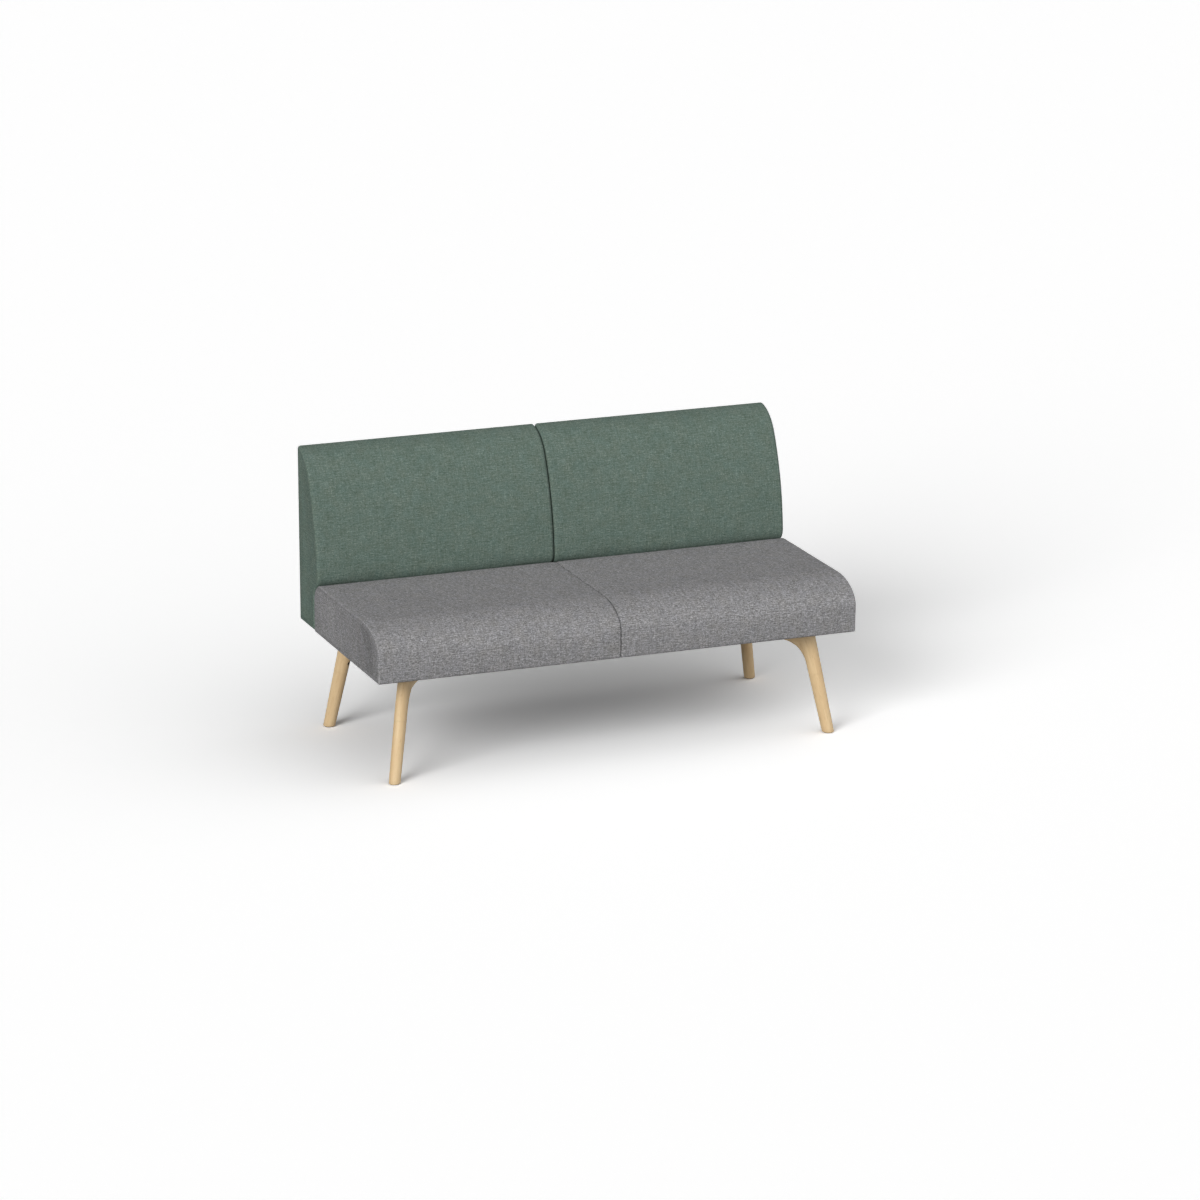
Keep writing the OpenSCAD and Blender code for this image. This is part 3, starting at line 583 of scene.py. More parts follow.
def blowUp(name, size, up, over, stations, pins):
    # cloth with air under it, held along the sewn edges; returns how far each point moved
    ring = ringOf(size, 0, up, over)
    count = len(ring)
    grid = patch(ring, up, over)
    points = [(x, y, z) for x in stations for y, z in ring]
    last = len(stations) - 1
    faces = tubeFaces(last + 1, count)
    capStart = []
    for at, side in ((0, -1), (last, 1)):
        capStart.append(len(points))
        addCap(points, faces, at * count, np.full(grid.shape[:2], stations[at]), grid, side)
    mesh = bpy.data.meshes.new(name)
    mesh.from_pydata(points, [], faces)
    facesOut(mesh)
    body = newObject(name, mesh)
    held = [i * count + j for i in range(last + 1) for j in range(count)
            if i in pins or i in (0, last) or j >= 2 * up + over - 1 or j <= 1]
    group = body.vertex_groups.new(name="sewn")
    group.add(held, 1.0, "REPLACE")
    cloth = body.modifiers.new("air", "CLOTH")
    rule = cloth.settings
    rule.quality = air["quality"]
    rule.vertex_group_mass = "sewn"
    rule.use_pressure = True
    rule.uniform_pressure_force = air["pressure"]
    rule.tension_stiffness = rule.compression_stiffness = air["tension"]
    rule.shear_stiffness = air["shear"]
    rule.bending_stiffness = air["bending"]
    rule.effector_weights.gravity = 0
    cloth.collision_settings.use_collision = False
    cloth.collision_settings.use_self_collision = False
    cloth.point_cache.frame_start = 1
    cloth.point_cache.frame_end = air["frames"]
    for moment in range(1, air["frames"] + 1):
        scene.frame_set(moment)
    blown = body.evaluated_get(bpy.context.evaluated_depsgraph_get()).to_mesh()
    after = np.empty(len(points) * 3)
    blown.vertices.foreach_get("co", after)
    moved = after.reshape(-1, 3) - np.array(points)
    scene.frame_set(1)
    bpy.data.objects.remove(body)
    bpy.data.meshes.remove(mesh)
    band = moved[:(last + 1) * count].reshape(last + 1, count, 3)
    caps = []
    inner = patchIndex(up, over) < 0
    for start in capStart:
        cap = np.zeros((over + 1, up + 1, 3))
        cap[inner] = moved[start:start + inner.sum()]
        caps.append(cap)
    furthest, middle = np.abs(moved).max() * 1000, np.median(np.linalg.norm(moved, axis=1)) * 1000
    print(name, "blown up, furthest", round(float(furthest), 1), "mm, middle", round(float(middle), 1), "mm")
    return ring, band, caps


def soften(field, wrap, rounds):
    # evens out a grid of vectors; wrap joins its last column to its first
    for turn in range(rounds):
        inner = field.copy()
        inner[1:-1] = (field[:-2] + 2 * field[1:-1] + field[2:]) / 4
        field = inner.copy()
        if wrap:
            field = (np.roll(inner, 1, 1) + 2 * inner + np.roll(inner, -1, 1)) / 4
        else:
            field[:, 1:-1] = (inner[:, :-2] + 2 * inner[:, 1:-1] + inner[:, 2:]) / 4
    return field


def limited(field, most):
    # vectors cut down smoothly, so that none is longer than most
    far = np.linalg.norm(field, axis=-1, keepdims=True)
    return field * np.where(far > 1e-9, most * np.tanh(far / most) / np.maximum(far, 1e-9), 0)


def resample(field, rows, columns, newRows, newColumns):
    # a grid of vectors read off at other rows and columns
    tall = np.stack([[np.interp(newRows, rows, field[:, j, k]) for j in range(field.shape[1])]
                     for k in range(3)], -1).transpose(1, 0, 2)
    return np.stack([[np.interp(newColumns, columns, line[:, k]) for line in tall] for k in range(3)], -1)


def swell(name, size, stations, span, normals):
    # air and cloth give each panel its swell between the sewn edges
    up, over, half, count = size["up"], size["over"], size["halfWidth"], len(normals)
    band = np.zeros((len(stations), count, 3))
    caps = [np.zeros((over + 1, up + 1, 3)) for end in (0, 1)]
    coarseUp, coarseOver = up // 2, over // 2 + 3
    cells = int(half / air["cell"]) + 1
    coarse = np.concatenate([np.linspace(-half, 0, cells)[:-1], np.linspace(0, half, cells)])
    pins = [int(np.argmin(np.abs(coarse)))] if size["seam"] else []
    coarseRing, moved, capMoved = blowUp(name + "_air", size, coarseUp, coarseOver, coarse, pins)
    closed = np.concatenate([moved, moved[:, :1]], 1)
    closed = soften(limited(closed, size["faceSwell"]), False, 1)
    band = soften(resample(closed, coarse, ringSpan(coarseRing), stations, span[:-1]), True, 2)
    # air alone pulls the corners in, where stitching and foam hold them out
    way = np.stack([np.zeros(count), normals[:, 0], normals[:, 1]], 1)
    pull = np.minimum((band * way).sum(2), 0) * (1 - size["give"])
    band = soften(band - pull[:, :, None] * way, True, 1)
    steps = [np.linspace(0, 1, number + 1) for number in (coarseOver, coarseUp, over, up)]
    for cap, far in zip(caps, capMoved):
        cap[:] = soften(resample(soften(limited(far, size["endSwell"]), False, 1), *steps), False, 2)
        cap[0] = cap[-1] = 0
        cap[:, 0] = cap[:, -1] = 0
    return band, caps


# how the covers are sewn: stations beside the middle seam, its puckers and the wide dip around it, the
# cloth tucked into it, the rounded edge of an end with a painted highlight on its rings (lighter where the
# share is below 0), and the rings of the seam beyond that edge, each with how far it stands out, how far in
# it lies and its painted shade
sewing = dict(
    besideSeam=(0.0006, 0.0014, 0.0026, 0.0045, 0.0075), pucker=0.12, puckerLong=0.0042,
    dipDeep=0.0012, dipWide=0.012, tucked=0.0037,
    edgeTurns=(72, 54, 36, 18, 0), edgePaintedHighlight=(0, -0.05, -0.13, -0.05, 0),
    endSeam=((0.0002, 0.0012, 0), (-0.0001, 0.0022, 0.08), (-0.0010, 0.0030, 0.22),
             (-0.0001, 0.0038, 0.08), (0.0002, 0.0050, 0), (0.0, 0.0075, 0)),
    hollowLow=0.03, sharp=50)


def cushion(name, size, middle, material):
    up, over, half = size["up"], size["over"], size["halfWidth"]
    rounding = size["endRound"]
    inside = half - size["hem"]
    near = [0.0, *sewing["besideSeam"]] if size["seam"] else [0.0]
    plain = np.linspace(near[-1], inside, int((inside - near[-1]) / size["cell"]) + 1)[1:]
    halfStations = np.concatenate([near, plain, [half - rounding]])
    stations = np.concatenate([-halfStations[:0:-1], halfStations])
    outline = ringOf(size, 0, up, over)
    span = ringSpan(outline)
    count = len(outline)
    normals = outwards(outline)
    band, caps = swell(name, size, stations, span, normals)

    # the sewn seam at the middle draws the cover in; the underside lies flat
    under = np.ones(count)
    under[2 * up + over:] = 0
    under[0] = 0
    pucker = 1 + sewing["pucker"] * np.sin(span[:-1] / sewing["puckerLong"])
    points, paintedLight = [], []
    for i, x in enumerate(stations):
        dip, shade = np.zeros(count), np.zeros(count)
        if size["seam"]:
            far = abs(x)
            tight = size["seamDeep"] * math.exp(-(far / size["seamWide"]) ** 1.5) * pucker
            dip = (tight + sewing["dipDeep"] * math.exp(-(far / sewing["dipWide"]) ** 2)) * under
            # painted shade along the middle seam, where the groove lies in shadow
            shade = under * size["seamPaintedShade"] * math.exp(-(far / size["seamWide"]) ** 2)
        paintedLight += list(shade)
        for j, (y, z) in enumerate(outline):
            dx, dy, dz = band[i, j] * under[j]
            points.append((middle + x + dx, y + dy - normals[j, 0] * dip[j], z + dz - normals[j, 1] * dip[j]))
    faces, places = [], []
    tucked = sewing["tucked"] if size["seam"] else 0.0

    def bandFace(j, first, second, uFirst, uSecond):
        # one face between two rings, and its place on the cloth, which jumps at the middle seam
        k = (j + 1) % count
        faces.append((first + j, first + k, second + k, second + j))
        push = tucked if uFirst + uSecond > 0 else 0.0
        uFirst, uSecond = uFirst + push, uSecond + push
        places.append([(uFirst, span[j]), (uFirst, span[j + 1]), (uSecond, span[j + 1]), (uSecond, span[j])])

    hemFront = 2 * up + over + hemCells
    hemRear = 2 * up + 2 * over - hemCells
    firstIn = int(np.argmin(np.abs(stations + inside)))
    lastIn = int(np.argmin(np.abs(stations - inside)))
    for i in range(len(stations) - 1):
        for j in range(count):
            if not (firstIn <= i < lastIn and hemFront <= j < hemRear):
                bandFace(j, i * count, (i + 1) * count, stations[i], stations[i + 1])

    # rounded edge, then the seam that joins the end panel, then the panel
    endRings = [(-rounding * (1 - math.cos(turn)), rounding * (1 - math.sin(turn)), ringPaintedLight)
                for turn, ringPaintedLight in zip(np.radians(sewing["edgeTurns"]), sewing["edgePaintedHighlight"])]
    endRings += [(out, rounding + far, ringPaintedLight) for out, far, ringPaintedLight in sewing["endSeam"]]
    grid = patch(ringOf(size, endRings[-1][1], up, over), up, over)
    for side, shift in zip((-1, 1), caps):
        before = (0 if side < 0 else len(stations) - 1) * count
        u = abs(stations[0])
        was = (-rounding, 0)
        for out, inset, ringPaintedLight in endRings:
            start = len(points)
            points += [(middle + side * (half + out), y, z) for y, z in ringOf(size, inset, up, over)]
            # each ring's painted light: a painted highlight on the rounded edge, painted shade in the seam
            # beside it
            paintedLight += [ringPaintedLight] * count
            stepU = math.hypot(out - was[0], inset - was[1])
            for j in range(count):
                if side < 0:
                    bandFace(j, start, before, -u - stepU, -u)
                else:
                    bandFace(j, before, start, u, u + stepU)
            before, was, u = start, (out, inset), u + stepU
        addCap(points, faces, before, middle + side * half + shift[:, :, 0], grid, side)
        places += [[tuple(points[c][1:]) for c in face] for face in faces[len(places):]]

    # the hollow for foam and frame, open below
    sides = sidesOf(size, size["hem"])
    rear = sides["rear"] if size["seam"] else sides["rear"][-1:]
    hollow = path(rear, sides["top"], sides["front"])
    hollow = hollow[hollow[:, 1] > size["low"] + sewing["hollowLow"]][::3]
    walls = []
    for x in (-inside, inside):
        walls.append(list(range(len(points), len(points) + len(hollow))))
        points += [(middle + x, y, z) for y, z in hollow]
    left, right = walls
    faces += [(left[k], left[k + 1], right[k + 1], right[k]) for k in range(len(hollow) - 1)]
    rearHem = [i * count + hemRear for i in range(firstIn, lastIn + 1)]
    frontHem = [i * count + hemFront for i in range(firstIn, lastIn + 1)]
    leftHem = [firstIn * count + j for j in range(hemFront, hemRear + 1)]
    rightHem = [lastIn * count + j for j in range(hemFront, hemRear + 1)]
    faces.append(tuple(rearHem + [right[0], left[0]]))
    faces.append(tuple(frontHem[::-1] + [left[-1], right[-1]]))
    faces.append(tuple(leftHem + left))
    faces.append(tuple(rightHem[::-1] + right[::-1]))
    places += [[tuple(points[c][1:]) for c in face] for face in faces[len(places):]]
    # the inner points of an end panel have no shade of their own and take the next ones of this list
    paintedLight += [0.0] * (len(points) - len(paintedLight))

    mesh = bpy.data.meshes.new(name)
    mesh.from_pydata(points, [], faces)
    # the painted light held on the points: painted shade in the seams, a painted highlight (below 0) on the
    # ends' rounded edges
    mesh.attributes.new("crease", "FLOAT", "POINT").data.foreach_set("value", paintedLight)
    flat = [value for face in places for corner in face for value in corner]
    mesh.uv_layers.new(name="cloth").data.foreach_set("uv", np.array(flat, dtype=np.float32))
    openEdges = facesOut(mesh)
    mesh.shade_smooth()
    mesh.set_sharp_from_angle(angle=math.radians(sewing["sharp"]))
    mesh.materials.append(material)
    print(name, len(mesh.vertices), "points,", openEdges, "open edges")
    return newObject(name, mesh)


seatPad = cushion("seat_pad", seatSize, 0.0, greyCloth)
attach(seatPad, "root")
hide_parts("seat_cover")
for side, label in ((-1, "left"), (1, "right")):
    back = cushion(label + "_back_cushion", backSize, side * backSize["middle"], greenCloth)
    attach(back, "root")
    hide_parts(label + "_back_cover")


# legs with their arms

# each jointEdge is a ring at the joint, how far from it and how much narrower, besideJoint and belowJoint
# hold the faces next to them; planed is what is taken off the arm's top; rings are counted up the leg, round
# the knee to its outer corner and past it, along the arm and round its end; tilt and sharp are degrees
legSize = dict(
    footX=0.643, frontY=-0.29, rearY=0.2735, tilt=13.4, footLong=0.034, footWide=0.032,
    kneeLong=0.0405, kneeWide=0.034, joint=0.167, kneeRadius=0.081, top=edgeOf("seat_base_cloth", "low z"),
    planed=0.004, armHigh=0.0445, armWide=0.036, reach=0.244, endRadius=0.012, square=3.0, lift=0.002,
    footRound=0.0015, footStep=0.0005, jointEdge=((0.0004, 0.0), (0.00016, 0.0002), (0.00015, 0.00072)),
    besideJoint=0.0016, belowJoint=0.995, sides=48, rings=(17, 12, 14, 14, 9), sharp=32,
    boltAt=(0.155, 0.215), washerHole=0.0166, washerTop=edgeOf("leg_washers", "high z"), holeFrom=0.2,
    recessHigh=0.192, recessWide=0.014, recessDeep=0.008, recessCut=0.03,
    glideRadius=0.0133, glideFrom=-0.001, glideLong=0.0063, grainShift=(0.31, 0.17, 0.9))


def oval(inner, outer, width, square, sides):
    # a ring between two points, an ellipse at square 2 and nearer to a box above it
    middle, half = (inner + outer) / 2, (outer - inner) / 2
    turn = np.linspace(0, 2 * math.pi, sides, endpoint=False)
    bow = lambda v: np.sign(v) * np.abs(v) ** (2 / square)
    u, v = bow(np.cos(turn)), bow(np.sin(turn))
    return np.stack([middle[0] + half[0] * u, -width / 2 * v, middle[1] + half[1] * u], 1)


def legShapes():
    # rings of the leg and of the arm in the leg's own plane, X inwards along the arm
    s = legSize
    legCount, kneeCount, bendCount, armCount, endCount = s["rings"]
    tilt = math.radians(s["tilt"])
    up, across = np.array([math.sin(tilt), math.cos(tilt)]), np.array([math.cos(tilt), -math.sin(tilt)])
    armLow = s["top"] - s["armHigh"]
    kneeLong = (armLow - s["kneeRadius"]) / math.cos(tilt)
    taper = (s["kneeLong"] - s["footLong"]) / kneeLong
    lean = tilt + math.atan(taper / 2)
    jointLong = s["joint"] / math.cos(tilt)

    def legRing(along, spare=0.0):
        centre = along * up
        reach = (s["footLong"] + taper * along - spare) / 2 * across
        width = s["footWide"] + (s["kneeWide"] - s["footWide"]) * along / kneeLong - spare
        return oval(centre + reach, centre - reach, width, 2, s["sides"])

    low, high = legRing(-s["footLong"]), legRing(jointLong)

    def levelRing(z, spare=0.0):
        share = (z - low[:, 2]) / (high[:, 2] - low[:, 2])
        ring = low + (high - low) * share[:, None]
        middle = ring.mean(0)
        flat = ring - middle
        return middle + flat * (1 - spare / np.hypot(flat[:, 0], flat[:, 1]))[:, None]

    base = levelRing(s["lift"] + s["footRound"])
    top = legRing(jointLong - s["jointEdge"][0][0])
    leg = [levelRing(s["lift"], s["footRound"]), levelRing(s["lift"] + s["footStep"], s["footStep"]), base]
    leg += [base + (top - base) * t for t in (*np.linspace(0, 1, legCount)[1:-1], s["belowJoint"], 1)]
    leg += [legRing(jointLong - far, narrower) for far, narrower in s["jointEdge"][1:]]

    innerFrom = s["footLong"] / 2 * across
    outerFrom = -innerFrom
    innerWay = np.array([math.sin(lean), math.cos(lean)])
    outerLean = tilt - math.atan(taper / 2)
    outerWay = np.array([math.sin(outerLean), math.cos(outerLean)])
    kneeLow = armLow - s["kneeRadius"] + s["kneeRadius"] * math.sin(lean)
    kneeIn = innerFrom + innerWay * (kneeLow - innerFrom[1]) / innerWay[1]
    kneeCentre = kneeIn + s["kneeRadius"] * np.array([math.cos(lean), -math.sin(lean)])
    over = s["top"] + s["planed"]
    cross = lambda p, q: p[0] * q[1] - p[1] * q[0]
    cornerX = outerFrom[0] + outerWay[0] / outerWay[1] * (over - outerFrom[1])
    corner = math.atan2(over - kneeCentre[1], kneeCentre[0] - cornerX)
    fan = np.concatenate([np.linspace(lean, corner, kneeCount),
                          np.linspace(corner, math.pi / 2, bendCount)[1:]])
    arm = [legRing(jointLong + far, narrower) for far, narrower in s["jointEdge"][::-1]]
    arm.append(legRing(jointLong + s["besideJoint"]))
    for turn in fan:
        ray = np.array([-math.cos(turn), math.sin(turn)])
        toLeg = cross(outerFrom - kneeCentre, outerWay) / cross(ray, outerWay)
        toTop = (over - kneeCentre[1]) / math.sin(turn)
        share = max(0.0, (turn - corner) / (math.pi / 2 - corner))
        width = s["kneeWide"] + (s["armWide"] - s["kneeWide"]) * share
        square = 2 + (s["square"] - 2) * share
        arm.append(oval(kneeCentre + s["kneeRadius"] * ray, kneeCentre + min(toLeg, toTop) * ray,
                        width, square, s["sides"]))
    flatStart = kneeCentre[0]
    for x in np.linspace(flatStart, s["reach"] - s["endRadius"], armCount)[1:-1]:
        arm.append(oval(np.array([x, armLow]), np.array([x, over]), s["armWide"], s["square"], s["sides"]))
    for turn in np.radians(np.linspace(0, 90, endCount)):
        shrink = s["endRadius"] * (1 - math.cos(turn))
        x = s["reach"] - s["endRadius"] * (1 - math.sin(turn))
        arm.append(oval(np.array([x, armLow + shrink]), np.array([x, over - shrink]),
                        s["armWide"] - 2 * shrink, s["square"], s["sides"]))
    for ring in arm:
        ring[:, 2] = np.minimum(ring[:, 2], s["top"])
    return leg, arm, tilt, jointLong


def ringMesh(name, rings, grain):
    sides, last = len(rings[0]), len(rings) - 1
    faces = tubeFaces(len(rings), sides)
    faces.append(tuple(range(sides))[::-1])
    faces.append(tuple(last * sides + j for j in range(sides)))
    mesh = bpy.data.meshes.new(name)
    mesh.from_pydata(np.concatenate(rings).tolist(), [], faces)
    mesh.attributes.new("grain", "FLOAT_VECTOR", "POINT").data.foreach_set("vector", grain.ravel())
    facesOut(mesh)
    return mesh


def grainOf(rings, phase):
    # each point's place in its own stick: across, across, and along its middle line
    middles = np.array([ring.mean(0) for ring in rings])
    along = np.concatenate([[0], np.cumsum(np.linalg.norm(np.diff(middles, axis=0), axis=1))])
    out = []
    for k, ring in enumerate(rings):
        way = middles[min(k + 1, len(rings) - 1)] - middles[max(k - 1, 0)]
        way /= np.linalg.norm(way)
        side = np.array([0, 1.0, 0])
        rise = np.cross(way, side)
        flat = ring - middles[k]
        onward = along[k] + phase[2] + flat @ way
        out.append(np.stack([flat @ rise + phase[0], flat @ side + phase[1], onward], 1))
    return np.concatenate(out)


holeSides = 40


def drill(piece, cuts):
    # round holes, each a matrix, a radius and a length from the matrix's origin up its Z
    tool = bmesh.new()
    for place, radius, length in cuts:
        made = bmesh.ops.create_cone(tool, cap_ends=True, segments=holeSides, radius1=radius, radius2=radius,
                                     depth=length)
        bmesh.ops.transform(tool, matrix=place @ Matrix.Translation((0, 0, length / 2)), verts=made["verts"])
    mesh = bpy.data.meshes.new("drill")
    tool.to_mesh(mesh)
    tool.free()
    bit = newObject("drill", mesh)
    hole = piece.modifiers.new("holes", "BOOLEAN")
    hole.operation = "DIFFERENCE"
    hole.solver = "EXACT"
    hole.object = bit
    result = bpy.data.meshes.new_from_object(piece.evaluated_get(bpy.context.evaluated_depsgraph_get()))
    piece.modifiers.clear()
    piece.data = result
    bpy.data.objects.remove(bit)


def makeLegs():
    s = legSize
    leg, arm, tilt, jointLong = legShapes()
    corners = dict(front_left=(-1, -1), front_right=(1, -1), rear_left=(-1, 1), rear_right=(1, 1))
    recessAlong = (s["recessHigh"] + s["kneeLong"] / 2 * math.sin(tilt)) / math.cos(tilt)
    faceX = s["kneeLong"] / 2
    recess = (Matrix.Rotation(tilt, 4, "Y") @ Matrix.Translation((faceX - s["recessDeep"], 0, recessAlong))
              @ Matrix.Rotation(math.pi / 2, 4, "Y"))
    glide = Matrix.Translation((0, 0, s["glideFrom"]))
    washerLong = s["washerTop"] - s["holeFrom"]
    washers = [(Matrix.Translation((x, 0, s["holeFrom"])), s["washerHole"] / 2, washerLong)
               for x in s["boltAt"]]
    holes = dict(leg=[(glide, s["glideRadius"], s["glideLong"])],
                 arm=[(recess, s["recessWide"] / 2, s["recessCut"]), *washers])
    for number, (label, (side, end)) in enumerate(corners.items()):
        turn = math.atan2(-end, -side)
        y = s["frontY"] if end < 0 else s["rearY"]
        place = Matrix.Translation((side * s["footX"], y, 0)) @ Matrix.Rotation(turn, 4, "Z")
        for part, rings in (("leg", leg), ("arm", arm)):
            phase = [number * shift for shift in s["grainShift"]]
            phase[2] += jointLong if part == "arm" else 0
            name = f"{label}_{part}_wood"
            piece = newObject(name, ringMesh(name, rings, grainOf(rings, phase)))
            drill(piece, holes[part])
            piece.data.transform(place)
            piece.data.shade_smooth()
            piece.data.set_sharp_from_angle(angle=math.radians(s["sharp"]))
            piece.data.materials.clear()
            piece.data.materials.append(paleWood)
            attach(piece, "root")
            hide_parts(f"{label}_{part}")
    print("legs made")


makeLegs()


# foam inside the covers, cloth and webbing under it

# places read off the frame, with a little room to what lies beside them; skin is how far the foam lies
# under its cover, and over what it rests on its outline starts spare higher
insideSize = dict(
    skin=0.0111, spare=0.002, frontSpare=0.0015,
    foamLow=edgeOf("seat_foam", "low z", 0.0002), seatEnd=edgeOf("seat_foam", "high x", -0.0004),
    seatRear=edgeOf("seat_foam", "high y", -0.0002), seatFront=edgeOf("seat_base_cloth", "low y"),
    boardFace=edgeOf("right_back_board", "low y", -0.0005),
    boardTop=edgeOf("right_back_board", "high z", 0.0005),
    boardBack=edgeOf("right_back_board", "high y", -0.0004),
    footTop=edgeOf("right_back_foot_board", "high z", 0.0005),
    backOuter=edgeOf("right_back_foam", "high x", -0.0004),
    backInner=edgeOf("right_back_foam", "low x", 0.0004))
foamCut = dict(
    edge=0.004, edgeShares=(0, 0.12, 0.4, 1), slices=44, rough=0.0004, roughScale=30, sharp=40,
    filletSteps=4, leastTurn=0.35)


def backEnds(side):
    return sorted((side * insideSize["backInner"], side * insideSize["backOuter"]))


def fillet(outline, radius):
    # rounds each sharp corner of a closed outline
    steps = foamCut["filletSteps"]
    out = []
    count = len(outline)
    for k in range(count):
        before, here, after = (Vector(outline[(k + d) % count]) for d in (-1, 0, 1))
        toBefore, toAfter = before - here, after - here
        room = min(toBefore.length, toAfter.length) / 2
        if toBefore.angle(-toAfter) < foamCut["leastTurn"]:
            out.append(tuple(here))
            continue
        reach = min(radius, room)
        first, last = here + toBefore.normalized() * reach, here + toAfter.normalized() * reach
        for step in range(steps + 1):
            t = step / steps
            out.append(tuple(first * (1 - t) ** 2 + here * 2 * t * (1 - t) + last * t * t))
    return np.array(out)


def solidPiece(name, points, faces, material, sharp):
    mesh = bpy.data.meshes.new(name)
    mesh.from_pydata([tuple(map(float, point)) for point in points], [], faces)
    facesOut(mesh, 4)
    mesh.shade_smooth()
    mesh.set_sharp_from_angle(angle=math.radians(sharp))
    mesh.materials.append(material)
    return newObject(name, mesh)


def foamBlock(name, outline, xFrom, xTo, seed):
    # cut foam: slightly uneven sawn faces, its edges eased
    s = foamCut
    edge, most, scale = s["edge"], s["rough"], s["roughScale"]
    outline = fillet(outline, edge * 2)
    way = np.roll(outline, -1, axis=0) - np.roll(outline, 1, axis=0)
    normal = np.stack([way[:, 1], -way[:, 0]], 1) / np.linalg.norm(way, axis=1)[:, None]
    area = np.cross(outline, np.roll(outline, -1, axis=0)).sum()
    normal *= np.sign(area)
    eased = edge * np.array(s["edgeShares"])
    slices = np.linspace(xFrom + edge, xTo - edge, s["slices"])[1:-1]
    across = np.concatenate([xFrom + eased, slices, xTo - eased[::-1]])
    points = []
    for x in across:
        near = min(x - xFrom, xTo - x) / edge
        inset = edge * (1 - math.sqrt(max(0.0, 1 - (1 - min(near, 1)) ** 2)))
        for (y, z), (ny, nz) in zip(outline, normal):
            rough = most * noise.noise(Vector((x * scale, y * scale + seed, z * scale)))
            push = inset + most - rough
            points.append((x, y - ny * push, z - nz * push))
    count = len(outline)
    faces = tubeFaces(len(across), count)
    faces.append(tuple(range(count)))
    faces.append(tuple((len(across) - 1) * count + j for j in range(count))[::-1])
    return solidPiece(name, points, faces, foamStuff, s["sharp"])


def makeFoams():
    s = insideSize
    seat = seatSides(seatSize, s["skin"])
    over = path(seat["rear"], seat["top"], seat["front"])
    over = over[over[:, 1] > s["foamLow"] + s["spare"]][::3]
    over = over[over[:, 0] > s["seatFront"] - s["frontSpare"]]
    outline = path((s["seatRear"], s["foamLow"]), over, (over[-1][0], s["foamLow"]))
    foam = foamBlock("seat_foam_block", outline, -s["seatEnd"], s["seatEnd"], 1)
    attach(foam, "root")
    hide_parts("seat_foam")
    back = backSides(backSize, s["skin"])
    over = path(back["rear"], back["top"], back["front"])
    over = over[over[:, 1] > s["footTop"] + s["spare"]]
    start = int(np.argmax(over[:, 1] > s["boardTop"] + s["spare"]))
    over = over[start:][::2]
    outline = path((s["boardBack"], s["boardTop"]), over, (over[-1][0], s["footTop"]),
                   (s["boardFace"], s["footTop"]), (s["boardFace"], s["boardTop"]))
    for side, label in ((-1, "left"), (1, "right")):
        foam = foamBlock(label + "_back_foam_block", outline, *backEnds(side), 5 + side)
        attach(foam, "root")
        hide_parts(label + "_back_foam")


# the cloths that close the underside: their give is in the middle, a margin from the edge, and the
# dimples lie where the staples pull; the holes are for the bolts of the arms
clothSize = dict(
    low=edgeOf("seat_base_cloth", "low z", 0.0001), backLow=edgeOf("right_back_base_cloth", "low z", 0.0001),
    frontSpare=0.0002, backFront=edgeOf("right_back_base_cloth", "low y", 0.0004),
    thick=0.0009, cell=0.012, leastCells=8, lift=0.0004, sag=0.00036, sagScale=5, margin=0.04,
    dimple=0.0003, dimpleLong=0.03, dimplePitch=0.06, sharp=50,
    holeRadius=0.0046, holeFrom=0.29, holeLong=0.02)
stapleSize = dict(Crown=0.010, Leg=0.0014, Wire=0.00045, Seed=4)
stapleRows = dict(
    inset=0.009, seatRow=(-0.66, 0.66, 23), endRow=(-0.27, 0.145, 8), backFront=0.0063, backRear=0.007,
    backCount=13, proud=0.0003, skew=0.12)
strapSize = dict(Count=12, Pitch=0.112, Width=0.060, Bow=0.0006)
strapLook = dict(
    low=edgeOf("seat_webbing", "low z", 0.0002), top=edgeOf("seat_webbing", "high z"),
    across=5, along=41, edgeDrop=0.0002, weld=0.00001)


def dustSheet(name, low, yFrom, yTo, xFrom, xTo):
    # thin cloth pulled tight between its staples
    s = clothSize
    nx = int((xTo - xFrom) / s["cell"])
    ny = max(s["leastCells"], int((yTo - yFrom) / s["cell"]))
    wave, scale, margin = 2 * math.pi / s["dimplePitch"], s["sagScale"], s["margin"]
    points, faces = [], []
    for level in (0, s["thick"]):
        for i in range(nx + 1):
            for j in range(ny + 1):
                x = xFrom + (xTo - xFrom) * i / nx
                y = yFrom + (yTo - yFrom) * j / ny
                inX, inY = min(x - xFrom, xTo - x), min(y - yFrom, yTo - y)
                give = 0.5 + 0.5 * noise.noise(Vector((x * scale, y * scale, 2.0)))
                give *= s["sag"] * min(1, inX / margin) * min(1, inY / margin)
                pull = math.cos(x * wave) * math.exp(-inY / s["dimpleLong"])
                pull += math.cos(y * wave) * math.exp(-inX / s["dimpleLong"])
                points.append((x, y, low + s["lift"] + give + pull * s["dimple"] + level))
    row, layer = ny + 1, (nx + 1) * (ny + 1)
    for i in range(nx):
        for j in range(ny):
            a, b, c, d = i * row + j, (i + 1) * row + j, (i + 1) * row + j + 1, i * row + j + 1
            faces += [(a, d, c, b), (a + layer, b + layer, c + layer, d + layer)]
    rim = [i * row for i in range(nx)] + [nx * row + j for j in range(ny)]
    rim += [(nx - i) * row + ny for i in range(nx)] + [ny - j for j in range(ny)]
    for first, second in zip(rim, rim[1:] + rim[:1]):
        faces.append((first, second, second + layer, first + layer))
    piece = solidPiece(name, points, faces, dustCloth, s["sharp"])
    return piece


